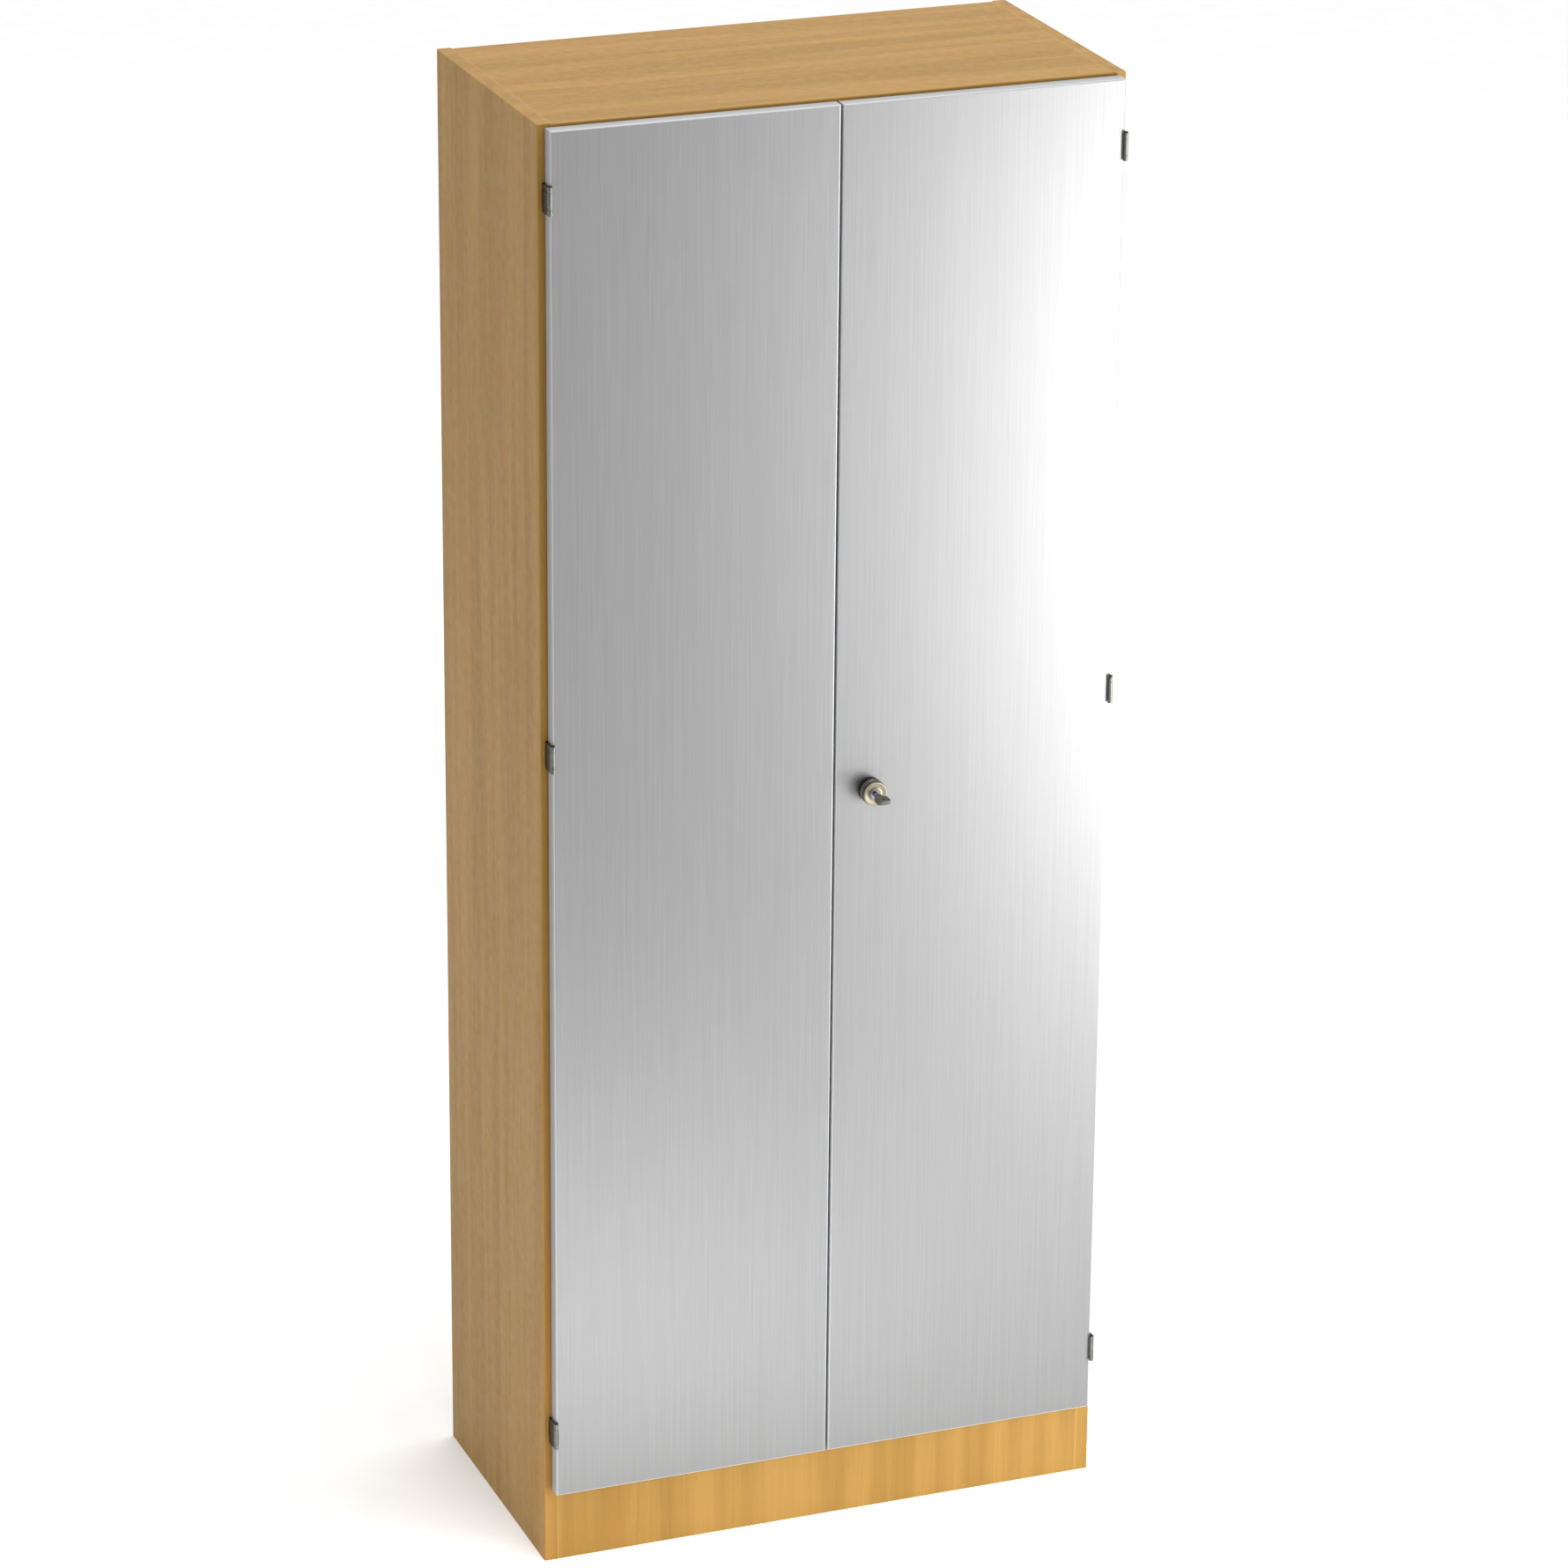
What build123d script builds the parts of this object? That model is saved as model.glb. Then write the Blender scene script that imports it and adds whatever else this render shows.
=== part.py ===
from build123d import *
import math
import os

os.makedirs("parts", exist_ok=True)

# Tall office cabinet with two doors, a rod lock and five file-height compartments.
# Frame: origin on the floor, in the middle of the width and of the whole depth, key included.
# +X to the right, +Y to the back, +Z up, all in millimetres.

# ---- overall ----
width = 800.0
height = 2004.0
closed_depth = 420.0              # door fronts to the rear edge of the sides
key_reach = 55.0                  # door fronts to the end of the key
back_y = (closed_depth + key_reach) / 2
door_front = back_y - closed_depth

# ---- boards ----
board = 19.0
edge_round = 2.0
door_gap = 2.5                    # from the back of a door to the carcass
front_y = door_front + board + door_gap
inner_x = width / 2 - board
plinth_height = 105.0
floor_top = plinth_height + board
ceiling = height - board
top_rear_inset = 3.0
back_board = 8.0
groove_depth = 8.0
groove_play = 0.1
groove_y = back_y - 18.0          # front face of the back panel
rail_y = back_y - 10.0            # rear face of the rear rail

# ---- shelves and the 32 mm boring system ----
pitch = 32.0
first_row = floor_top + 37.0
row_count = 56
pin_radius = 2.5
pin_rows = (10, 33, 45)           # rows that carry the loose shelves
shelf_front = front_y + 28.5
shelf_back = groove_y - 2.0
shelf_play = 1.0
fixed_shelf_low = 860.0
line_front = shelf_front + 37.0
line_rear = shelf_back - 37.0
bore_depth = 11.0
fit = 0.05                        # radial play of a shaft in its hole
press = 0.02                      # radial play of a part pressed or screwed in place

# ---- joints between boards ----
cam_front = front_y + 60.0
cam_rear = back_y - 60.0
cam_set = 34.0                    # cam centre from the end of its board
cam_radius = 7.5
cam_depth = 13.0
bolt_radius = 3.5
dowel_radius = 4.0
dowel_in_side = 11.0
dowel_in_board = 24.0
dowel_step = 32.0

# ---- doors ----
door_inset = 10.0                 # carcass side to the outer door edge
door_edge = width / 2 - door_inset
door_low = 107.0
door_top = 2000.0
centre_gap = 3.0

# ---- hinges ----
pivot_x = door_edge + 1.0
pivot_y = front_y - 24.5
hinge_levels = (198.0, 1168.0, 1911.0)
barrel_height = 37.0
end_knuckle = 7.5                 # the door's two knuckles; the carcass's is between them
barrel_radius = 3.0
hinge_pin_radius = 1.5
knuckle_gap = 0.35
leaf = 1.5                        # steel thickness of a hinge leaf
plate_height = 50.0
plate_reach = 44.0
hinge_screw_step = 16.0
screw_radius = 2.0
screw_length = 13.0
head_radius = 4.0
head_height = 1.6

# ---- lock ----
lock_x = 50.0
lock_z = 1070.0
knob_radius = 17.0
knob_front = front_y - 42.0
knob_back = door_front - 0.8
mesh_y = door_front + board + 11  # plane of the pinion and the rods
gear_module = 1.25
pinion_teeth = 16
gear_width = 7.0
backlash = 0.35
rod_radius = 3.5
rod_play = 2.5                    # rod end to strike plate, unlocked
strike_thick = 1.5
rod_hole_radius = 4.3
turn_travel = math.pi / 2 * gear_module * pinion_teeth / 2
case_half = 32.0
case_wall = 1.5
case_depth = 16.5
arm_length = 65.0
arm_thick = 3.0
arm_half_width = 8.0
spindle_radius = 5.0
square = 6.0
stud_radius = 2.5                 # threaded end of the spindle
lock_screw_radius = 1.5
guide_levels = (door_low + 60.0, lock_z - 110.0, lock_z + 90.0, door_top - 60.0)
guide_screw_step = 13.0
guide_foot = 3.0                  # thickness of a guide's foot
case_screw_x = 19.0
case_screw_z = 38.0
keeper_screw_z = 10.0
keeper_x = (-50.0, -28.0, -5.0)   # far edge, bend and lip edge
keeper_screw_x = (keeper_x[0] + keeper_x[1]) / 2 - 1.0
keeper_half_height = 17.0

# ---- knob ----
face_thick = 2.5
ring_width = 1.6
ring_depth = 0.9
ring_ys = (knob_front + 5.5, knob_front + 10.3)
knob_seat = 4.0                   # rear wall of the knob, where it sits on the spindle
housing_radius = 9.0
core_radius = 6.5
core_face = knob_front - 1.4

# ---- key ----
key_thick = 2.0
blade_height = 7.0
blade_back = knob_back - 5.5
bitting_step = 2.6
bitting_depths = (1.2, 0.6, 1.6, 0.9)
fold_y = core_face - 9.5          # pin on which the bow folds
key_pin_radius = 1.2
hub_radius = 4.2
bow_width = 18.0
bow_tip = door_front - key_reach
bow_thick = 5.6
ring_hole_set = 8.0
ring_hole_radius = 2.8

# ---- levelling feet ----
foot_x = 326.0
foot_front = front_y + 53.0
foot_rear = back_y - 60.0
foot_radius = 15.0
foot_screw_radius = 5.0
socket_height = 45.0              # of the housings under the bottom board
access_radius = 6.0

door_back = door_front + board
pitch_radius = gear_module * pinion_teeth / 2
sides = (-1, 1)


# ---- small helpers ----
def block(x0, x1, y0, y1, z0, z1):
    """A box between two corners."""
    centre = Pos((x0 + x1) / 2, (y0 + y1) / 2, (z0 + z1) / 2)
    return centre * Box(abs(x1 - x0), abs(y1 - y0), abs(z1 - z0))


def bar_x(x0, x1, y, z, radius):
    return Pos((x0 + x1) / 2, y, z) * Rot(0, 90, 0) * Cylinder(radius, abs(x1 - x0))


def bar_y(x, y0, y1, z, radius):
    return Pos(x, (y0 + y1) / 2, z) * Rot(90, 0, 0) * Cylinder(radius, abs(y1 - y0))


def bar_z(x, y, z0, z1, radius):
    return Pos(x, y, (z0 + z1) / 2) * Cylinder(radius, abs(z1 - z0))


def flip(shape):
    """The same shape on the other side of the cabinet."""
    return mirror(shape, about=Plane.YZ)


def both(shapes):
    return shapes + [flip(s) for s in shapes]


def save(name, shapes):
    """One file per node; several like pieces share one as separate solids."""
    if isinstance(shapes, list):
        shapes = Compound([s for shape in shapes for s in shape.solids()])
    export_step(shapes, f"parts/{name}.step")


def outer_edges(panel, axis, low_end=False):
    """Edges around the outermost face of a board, less the ones on the floor."""
    face = panel.faces().sort_by(axis)[0 if low_end else -1]
    return face.edges().filter_by(lambda e: e.center().Z > 1.0)


def wood_screw(x, y, z, depth):
    """Screw into a door back (depth > 0 runs to the front), head on its plate."""
    head = bar_y(x, y, y + head_height, z, head_radius)
    slot = block(x - 2.6, x + 2.6, y + head_height - 0.7, y + head_height, z - 0.45, z + 0.45)
    slot += block(x - 0.45, x + 0.45, y + head_height - 0.7, y + head_height, z - 2.6, z + 2.6)
    return head - slot + bar_y(x, y - depth, y, z, screw_radius)


# ---- boards of the carcass ----
board_levels = (floor_top - board / 2, fixed_shelf_low + board / 2, ceiling + board / 2)
dowel_ys = (cam_front + dowel_step, cam_rear - dowel_step)
rail_dowel_zs = (30.0, 75.0)


def rail_centre(front):
    """Y of the middle of the plinth board or of the rear rail."""
    return front_y + board / 2 if front else rail_y - board / 2


def row_levels():
    """Heights of the shelf pin holes, left out where the fixed shelf sits."""
    rows = [first_row + pitch * i for i in range(row_count)]
    middle = fixed_shelf_low + board / 2
    return [z for z in rows if abs(z - middle) > pitch * 0.9]


def hinge_screw_zs():
    return [z + s * hinge_screw_step for z in hinge_levels for s in sides]


def side_panel():
    """Right side board with every bore of its inner face."""
    panel = block(inner_x, width / 2, front_y, back_y, 0, height)
    panel = fillet(outer_edges(panel, Axis.X), edge_round)
    cuts = []
    for z in row_levels():
        for y in (line_front, line_rear):
            cuts.append(bar_x(inner_x, inner_x + bore_depth, y, z, pin_radius + fit))
    for z in board_levels:
        for y in (cam_front, cam_rear):
            cuts.append(bar_x(inner_x, inner_x + bore_depth, y, z, bolt_radius + fit))
        for y in dowel_ys:
            cuts.append(bar_x(inner_x, inner_x + dowel_in_side, y, z, dowel_radius + fit))
    for front in (True, False):
        for z in rail_dowel_zs:
            y = rail_centre(front)
            cuts.append(bar_x(inner_x, inner_x + dowel_in_side, y, z, dowel_radius + fit))
    for z in hinge_screw_zs():
        y = front_y + plate_reach - 12.0
        cuts.append(bar_x(inner_x, inner_x + screw_length, y, z, screw_radius + fit))
    groove_end = back_board + groove_play
    cuts.append(block(inner_x, inner_x + groove_depth, groove_y - groove_play, groove_y + groove_end,
                      plinth_height, height - board + groove_depth))
    return panel - cuts


def board_end_bores(z, cam_from):
    """Cam, bolt and dowel bores in both ends of a level board; cams are let in from cam_from."""
    cuts = []
    inward = 1 if cam_from < z else -1
    for y in (cam_front, cam_rear):
        x = inner_x - cam_set
        cuts.append(bar_z(x, y, cam_from, cam_from + inward * cam_depth, cam_radius + fit))
        cuts.append(bar_x(x, inner_x, y, z, bolt_radius + fit))
    for y in dowel_ys:
        cuts.append(bar_x(inner_x - dowel_in_board, inner_x, y, z, dowel_radius + fit))
    return both(cuts)


def back_groove(z0, z1):
    y1 = groove_y + back_board + groove_play
    return block(-inner_x, inner_x, groove_y - groove_play, y1, z0, z1)


def rod_x(upper):
    """The upper rod's rack is left of the pinion and the lower rod's is right of it."""
    offset = pitch_radius + 1.25 * gear_module + rod_radius
    return lock_x - offset if upper else lock_x + offset


def strike_screw_xs(upper):
    return [rod_x(upper) + s * 14.0 for s in sides]


def top_panel():
    """Top board between the sides, with the pocket for the upper rod."""
    panel = block(-inner_x, inner_x, front_y, back_y - top_rear_inset, ceiling, height)
    panel = fillet(panel.edges().filter_by(Axis.X).group_by(Axis.Z)[-1], edge_round)
    cuts = board_end_bores(ceiling + board / 2, ceiling)
    cuts.append(back_groove(ceiling, ceiling + groove_depth))
    cuts.append(bar_z(rod_x(True), mesh_y, ceiling, ceiling + 14.0, rod_hole_radius))
    for x in strike_screw_xs(True):
        cuts.append(bar_z(x, mesh_y, ceiling, ceiling + 10.0, lock_screw_radius + fit))
    return panel - cuts


def bottom_panel():
    """Bottom board on the plinth, with access holes above the levelling feet."""
    panel = block(-inner_x, inner_x, front_y, back_y, plinth_height, floor_top)
    cuts = board_end_bores(floor_top - board / 2, plinth_height)
    cuts.append(back_groove(floor_top - groove_depth, floor_top))
    cuts.append(bar_z(rod_x(False), mesh_y, floor_top - 14.0, floor_top, rod_hole_radius))
    for x in strike_screw_xs(False):
        cuts.append(bar_z(x, mesh_y, floor_top - 10.0, floor_top, lock_screw_radius + fit))
    for x in (-foot_x, foot_x):
        for y in (foot_front, foot_rear):
            cuts.append(bar_z(x, y, plinth_height, floor_top, access_radius))
    return panel - cuts


def rail(front):
    """Plinth board or rear rail, doweled between the sides."""
    y = rail_centre(front)
    panel = block(-inner_x, inner_x, y - board / 2, y + board / 2, 0, plinth_height)
    cuts = [bar_x(inner_x - dowel_in_board, inner_x, y, z, dowel_radius + fit) for z in rail_dowel_zs]
    return panel - both(cuts)


def back_panel():
    x = inner_x + groove_depth - 0.5
    return block(-x, x, groove_y, groove_y + back_board,
                 floor_top - groove_depth + 0.5, ceiling + groove_depth - 0.5)


def fixed_shelf():
    low = fixed_shelf_low
    panel = block(-inner_x, inner_x, shelf_front, shelf_back, low, low + board)
    return panel - board_end_bores(low + board / 2, low)


def loose_shelf(row):
    """Shelf lying loose on four pins, its long edges eased."""
    low = first_row + pitch * row + pin_radius
    x = inner_x - shelf_play
    panel = block(-x, x, shelf_front, shelf_back, low, low + board)
    return fillet(panel.edges().filter_by(Axis.X), 0.8)


# ---- fittings that hold the boards together ----
def shelf_pin(y, z):
    """Steel pin: a plug in the side and a longer stub under the shelf."""
    plug = bar_x(inner_x - 8.0, inner_x + bore_depth - 1.0, y, z, pin_radius)
    return plug + bar_x(inner_x - 1.2, inner_x, y, z, pin_radius + 1.0) - block(
        inner_x - 2, inner_x, y - 5, y + 5, z + pin_radius, z + 5)


def shelf_pins():
    pins = []
    for row in pin_rows:
        for y in (line_front, line_rear):
            pins.append(shelf_pin(y, first_row + pitch * row))
    return both(pins)


def cam(y, z, inward):
    """Cam disc with a cross slot in its face and a throat for the bolt's neck."""
    x = inner_x - cam_set
    disc = bar_z(x, y, z, z + inward * (cam_depth - 0.5), cam_radius)
    throat = bar_x(x - cam_radius, x + cam_radius + 1, y, z + inward * board / 2, bolt_radius + 0.3)
    cross = block(x - 4, x + 4, y - 0.7, y + 0.7, z, z + inward * 2)
    cross += block(x - 0.7, x + 0.7, y - 4, y + 4, z, z + inward * 2)
    return disc - throat - cross


def cam_fittings():
    faces = ((plinth_height, 1), (fixed_shelf_low, 1), (ceiling, 1))
    return both([cam(y, z, up) for z, up in faces for y in (cam_front, cam_rear)])


def cam_bolt(y, z):
    """Bolt screwed in the side, necked behind its head where the cam grips."""
    x = inner_x - cam_set
    shank = bar_x(x + 3.0, inner_x + bore_depth - 1.0, y, z, bolt_radius)
    neck = bar_x(x - 1.0, x + 3.0, y, z, 2.0)
    head = bar_x(x - 4.0, x - 1.0, y, z, bolt_radius)
    return shank + neck + head


def cam_bolts():
    return both([cam_bolt(y, z) for z in board_levels for y in (cam_front, cam_rear)])


def wood_dowels():
    x0 = inner_x - dowel_in_board + 1.0
    x1 = inner_x + dowel_in_side - 1.0
    dowels = [bar_x(x0, x1, y, z, dowel_radius) for z in board_levels for y in dowel_ys]
    for front in (True, False):
        dowels += [bar_x(x0, x1, rail_centre(front), z, dowel_radius) for z in rail_dowel_zs]
    return both([chamfer(d.edges().filter_by(GeomType.CIRCLE), 0.8) for d in dowels])


# ---- levelling feet ----
def leveler_housings():
    """Socket blocks under the bottom board, with the nut thread for each foot."""
    blocks = []
    for y in (foot_front, foot_rear):
        body = block(foot_x - 22.0, inner_x, y - 22.0, y + 22.0,
                     plinth_height - socket_height, plinth_height)
        body = fillet(body.edges().filter_by(Axis.Z).group_by(Axis.X)[0], 6.0)
        blocks.append(body - bar_z(foot_x, y, 0, plinth_height, foot_screw_radius + fit))
    return both(blocks)


def leveler_foot(x, y):
    """Pad on a screw with a hexagon socket that is reached from inside the cabinet."""
    pad = chamfer(bar_z(x, y, 0, 8.0, foot_radius).edges().group_by(Axis.Z)[-1], 2.0)
    collar = bar_z(x, y, 8.0, 12.0, 9.0)
    screw = bar_z(x, y, 12.0, plinth_height - 4.0, foot_screw_radius)
    socket = extrude(Pos(x, y, plinth_height - 12.0) * RegularPolygon(2.9, 6), 8.0)
    return pad + collar + screw - socket


def access_caps():
    caps = []
    for y in (foot_front, foot_rear):
        plug = bar_z(foot_x, y, floor_top - 7.0, floor_top, access_radius - 0.1)
        lip = bar_z(foot_x, y, floor_top, floor_top + 1.4, 9.0)
        lip = chamfer(lip.edges().group_by(Axis.Z)[-1], 0.6)
        caps.append(plug + lip)
    return both(caps)


# ---- hinges, right side ----
def knuckle_span(z, index):
    """Bottom, middle or top knuckle of a barrel, with running gaps between them."""
    low = z - barrel_height / 2
    cuts = (0.0, end_knuckle, barrel_height - end_knuckle, barrel_height)
    gap = knuckle_gap / 2
    z0 = low + cuts[index] + (gap if index > 0 else 0)
    z1 = low + cuts[index + 1] - (gap if index < 2 else 0)
    return z0, z1


def fixed_arm(z):
    """Carcass half of a hinge: plate on the side, bent around its edge to the middle knuckle."""
    z0, z1 = knuckle_span(z, 1)
    outer = pivot_x + barrel_radius
    plate = block(inner_x - leaf, inner_x, front_y - leaf, front_y + plate_reach,
                  z - plate_height / 2, z + plate_height / 2)
    corners = plate.edges().filter_by(Axis.X).group_by(Axis.Y)[-1]
    plate = fillet(corners, 6.0)
    for low, high in ((z - plate_height / 2, z0), (z1, z + plate_height / 2)):
        plate -= block(inner_x - leaf, inner_x, front_y - leaf, front_y, low, high)
    crossing = block(inner_x - leaf, outer, front_y - leaf, front_y, z0, z1)
    strip = block(outer - leaf, outer, pivot_y, front_y, z0, z1)
    tube = bar_z(pivot_x, pivot_y, z0, z1, barrel_radius)
    bore = bar_z(pivot_x, pivot_y, z0, z1, hinge_pin_radius)
    holes = [bar_x(inner_x - leaf, inner_x, front_y + plate_reach - 12.0,
                   z + s * hinge_screw_step, screw_radius + fit) for s in sides]
    return plate + crossing + strip + tube - bore - holes


def door_leaf(z):
    """Door half of a hinge: plate on the door back, two straps round the edge to the end knuckles."""
    z_low = z - plate_height / 2
    z_high = z + plate_height / 2
    outer = pivot_x + barrel_radius
    clear_x = inner_x - 2 * leaf
    reach_x = door_edge - plate_reach
    plate = block(reach_x, clear_x, door_back, door_back + leaf, z_low, z_high)
    plate = fillet(plate.edges().filter_by(Axis.Y).group_by(Axis.X)[0], 6.0)
    half = plate
    for index in (0, 2):
        z0, z1 = knuckle_span(z, index)
        half += block(clear_x, outer, door_back, door_back + leaf, z0, z1)
        half += block(outer - leaf, outer, pivot_y, door_back + leaf, z0, z1)
        half += bar_z(pivot_x, pivot_y, z0, z1, barrel_radius)
    z0, z1 = knuckle_span(z, 0)[0], knuckle_span(z, 2)[1]
    half -= bar_z(pivot_x, pivot_y, z0, z1, hinge_pin_radius + fit)
    holes = [bar_y(reach_x + 12.0, door_back, door_back + leaf, z + s * hinge_screw_step,
                   screw_radius + fit) for s in sides]
    return half - holes


def hinge_pin(z):
    """Pin held in the middle knuckle; it reaches a little above the barrel, into the cap."""
    low = z - barrel_height / 2
    high = z + barrel_height / 2
    return bar_z(pivot_x, pivot_y, low, high + knuckle_gap, hinge_pin_radius)


def hinge_cap(z):
    """Black cap on the upper end of a hinge barrel."""
    high = z + barrel_height / 2 + knuckle_gap
    cap = bar_z(pivot_x, pivot_y, high, high + 1.6, barrel_radius - 0.3)
    return chamfer(cap.edges().group_by(Axis.Z)[-1], 0.6)


def side_screw(z):
    """Screw through a hinge plate into the side board."""
    y = front_y + plate_reach - 12.0
    x = inner_x - leaf
    head = bar_x(x - head_height, x, y, z, head_radius)
    slot = block(x - head_height, x - head_height + 0.7, y - 2.6, y + 2.6, z - 0.45, z + 0.45)
    slot += block(x - head_height, x - head_height + 0.7, y - 0.45, y + 0.45, z - 2.6, z + 2.6)
    return head - slot + bar_x(x, inner_x + screw_length - 0.5, y, z, screw_radius)


def leaf_screw(z):
    x = door_edge - plate_reach + 12.0
    return wood_screw(x, door_back + leaf, z, leaf + screw_length - 0.5)


# ---- doors ----
def door(x0, x1):
    panel = block(x0, x1, door_front, door_back, door_low, door_top)
    panel = fillet(panel.edges().group_by(Axis.Y)[0], edge_round)
    return fillet(panel.edges().filter_by(Axis.Z).group_by(Axis.Y)[-1], 0.6)


def leaf_bores():
    """Pilot holes in the back of the right door for its hinge leaves."""
    x = door_edge - plate_reach + 12.0
    return [bar_y(x, door_back - screw_length, door_back, z, screw_radius + fit)
            for z in hinge_screw_zs()]


def guide_x(z):
    return rod_x(z > lock_z)


def right_door():
    panel = door(centre_gap / 2, door_edge)
    cuts = leaf_bores()
    cuts.append(bar_y(lock_x, door_front, door_back, lock_z, spindle_radius + 1.0))
    for sx in sides:
        for sz in sides:
            cuts.append(bar_y(lock_x + sx * case_screw_x, door_back - screw_length, door_back,
                              lock_z + sz * case_screw_z, lock_screw_radius + fit))
    for z in guide_levels:
        for s in sides:
            cuts.append(bar_y(guide_x(z), door_back - screw_length, door_back,
                              z + s * guide_screw_step, lock_screw_radius + fit))
    return panel - cuts


def left_door():
    panel = door(-door_edge, -centre_gap / 2)
    cuts = [flip(c) for c in leaf_bores()]
    for s in sides:
        cuts.append(bar_y(keeper_screw_x, door_back - screw_length, door_back, lock_z + s * keeper_screw_z,
                          lock_screw_radius + fit))
    return panel - cuts


def small_screw(x, y, z, depth):
    """Pan-head screw for the lock hardware, driven from the back."""
    head = bar_y(x, y, y + 1.4, z, 3.0)
    slot = block(x - 2, x + 2, y + 0.8, y + 1.4, z - 0.4, z + 0.4)
    slot += block(x - 0.4, x + 0.4, y + 0.8, y + 1.4, z - 2, z + 2)
    return head - slot + bar_y(x, y - depth, y, z, lock_screw_radius)


def keeper_plate():
    """Hook on the left door; the locking arm swings in between it and the door."""
    z0 = lock_z - keeper_half_height
    z1 = lock_z + keeper_half_height
    lip_front = mesh_y + 11.5
    base = block(keeper_x[0], keeper_x[1], door_back, door_back + case_wall, z0, z1)
    web = block(keeper_x[1] - case_wall, keeper_x[1], door_back, lip_front + case_wall, z0, z1)
    lip = block(keeper_x[1], keeper_x[2], lip_front, lip_front + case_wall, z0, z1)
    holes = [bar_y(keeper_screw_x, door_back, door_back + case_wall, lock_z + s * keeper_screw_z,
                   lock_screw_radius + fit) for s in sides]
    return base + web + lip - holes


def keeper_screws():
    return [small_screw(keeper_screw_x, door_back + case_wall, lock_z + s * keeper_screw_z, 12.0)
            for s in sides]


# ---- lock, inside the right door ----
def lock_base():
    """Base plate of the lock case, with the bearing for the spindle."""
    x = case_screw_x + 5.0
    z = case_screw_z + 5.0
    plate = block(lock_x - x, lock_x + x, door_back, door_back + case_wall, lock_z - z, lock_z + z)
    plate = fillet(plate.edges().filter_by(Axis.Y), 4.0)
    cuts = [bar_y(lock_x, door_back, door_back + case_wall, lock_z, spindle_radius + fit)]
    for sx in sides:
        for sz in sides:
            cuts.append(bar_y(lock_x + sx * case_screw_x, door_back, door_back + case_wall,
                              lock_z + sz * case_screw_z, lock_screw_radius + fit))
    return plate - cuts


def lock_cover():
    """Pressed cover over the pinion and racks, open where the rods pass."""
    y0 = door_back + case_wall
    y1 = door_back + case_wall + case_depth
    half = 23.0
    shell = block(lock_x - half, lock_x + half, y0, y1, lock_z - case_half, lock_z + case_half)
    shell = fillet(shell.edges().group_by(Axis.Y)[-1], 1.2)
    shell -= block(lock_x - half + case_wall, lock_x + half - case_wall, y0, y1 - case_wall,
                   lock_z - case_half + case_wall, lock_z + case_half - case_wall)
    for upper in (True, False):
        z0 = lock_z if upper else lock_z - case_half
        z1 = lock_z + case_half if upper else lock_z
        shell -= bar_z(rod_x(upper), mesh_y, z0, z1, rod_radius + 0.6)
    return shell - bar_y(lock_x, y0, y1, lock_z, spindle_radius + 0.5)


def lock_screws():
    screws = []
    for sx in sides:
        for sz in sides:
            screws.append(small_screw(lock_x + sx * case_screw_x, door_back + case_wall,
                                      lock_z + sz * case_screw_z, 12.0))
    return screws


def pinion():
    """Spur gear with straight-flanked teeth, one tooth on each side of the axis."""
    tip = pitch_radius + 0.9 * gear_module
    root = pitch_radius - 1.2 * gear_module
    half_pitch = (math.pi * gear_module / 2 - backlash) / 2
    slope = math.tan(math.radians(20))
    half_tip = half_pitch - 0.9 * gear_module * slope - 0.08
    half_root = half_pitch + 0.9 * gear_module * slope * 0.4
    tooth = Polygon((root - 1, -half_root), (root, -half_root), (pitch_radius, -half_pitch),
                    (tip, -half_tip), (tip, half_tip), (pitch_radius, half_pitch),
                    (root, half_root), (root - 1, half_root), align=None)
    face = Circle(root + 0.01)
    for i in range(pinion_teeth):
        face += Rot(0, 0, 360 / pinion_teeth * i) * tooth
    face -= Rectangle(square + 2 * fit, square + 2 * fit)
    gear = extrude(face, gear_width / 2, both=True)
    return Pos(lock_x, mesh_y, lock_z) * Rot(90, 0, 0) * gear


def rack_teeth(direction, first, count):
    """Teeth of a rack on the pitch line x = 0, pointing to direction; gap centred on z = 0."""
    p = math.pi * gear_module
    slope = math.tan(math.radians(20))
    half_pitch = (p / 2 - backlash) / 2
    half_tip = half_pitch - 0.9 * gear_module * slope
    half_root = half_pitch + 1.25 * gear_module * slope
    teeth = []
    for i in range(count):
        z = p * (first + i + 0.5)
        outline = [(-1.25 * gear_module, z - half_root), (0.9 * gear_module, z - half_tip),
                   (0.9 * gear_module, z + half_tip), (-1.25 * gear_module, z + half_root)]
        points = [(direction * x, zz) for x, zz in outline]
        teeth.append(make_face(Polyline(*points, close=True)))
    return teeth


def rod(upper):
    """Lock rod with a rack at the pinion; the far end enters the carcass when locked."""
    direction = 1 if upper else -1
    x = rod_x(upper)
    reach = 8.0
    if upper:
        bar = bar_z(x, mesh_y, lock_z + reach, ceiling - strike_thick - rod_play, rod_radius)
        tip = bar.edges().group_by(Axis.Z)[-1]
    else:
        bar = bar_z(x, mesh_y, floor_top + strike_thick + rod_play, lock_z - reach, rod_radius)
        tip = bar.edges().group_by(Axis.Z)[0]
    bar = chamfer(tip, 1.2)
    z0 = lock_z - 20.0 if upper else lock_z - reach - 2
    z1 = lock_z + reach + 2 if upper else lock_z + 20.0
    x_root = lock_x - direction * (pitch_radius + 1.25 * gear_module)
    bar += block(x_root - direction * 6.0, x_root, mesh_y - gear_width / 2,
                 mesh_y + gear_width / 2, z0, z1)
    faces = rack_teeth(direction, -5 if upper else -2, 7)
    x_pitch = lock_x - direction * pitch_radius
    for face in faces:
        solid = extrude(Plane.XZ * face, gear_width / 2, both=True)
        bar += Pos(x_pitch, mesh_y, lock_z) * solid
    return bar


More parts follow.
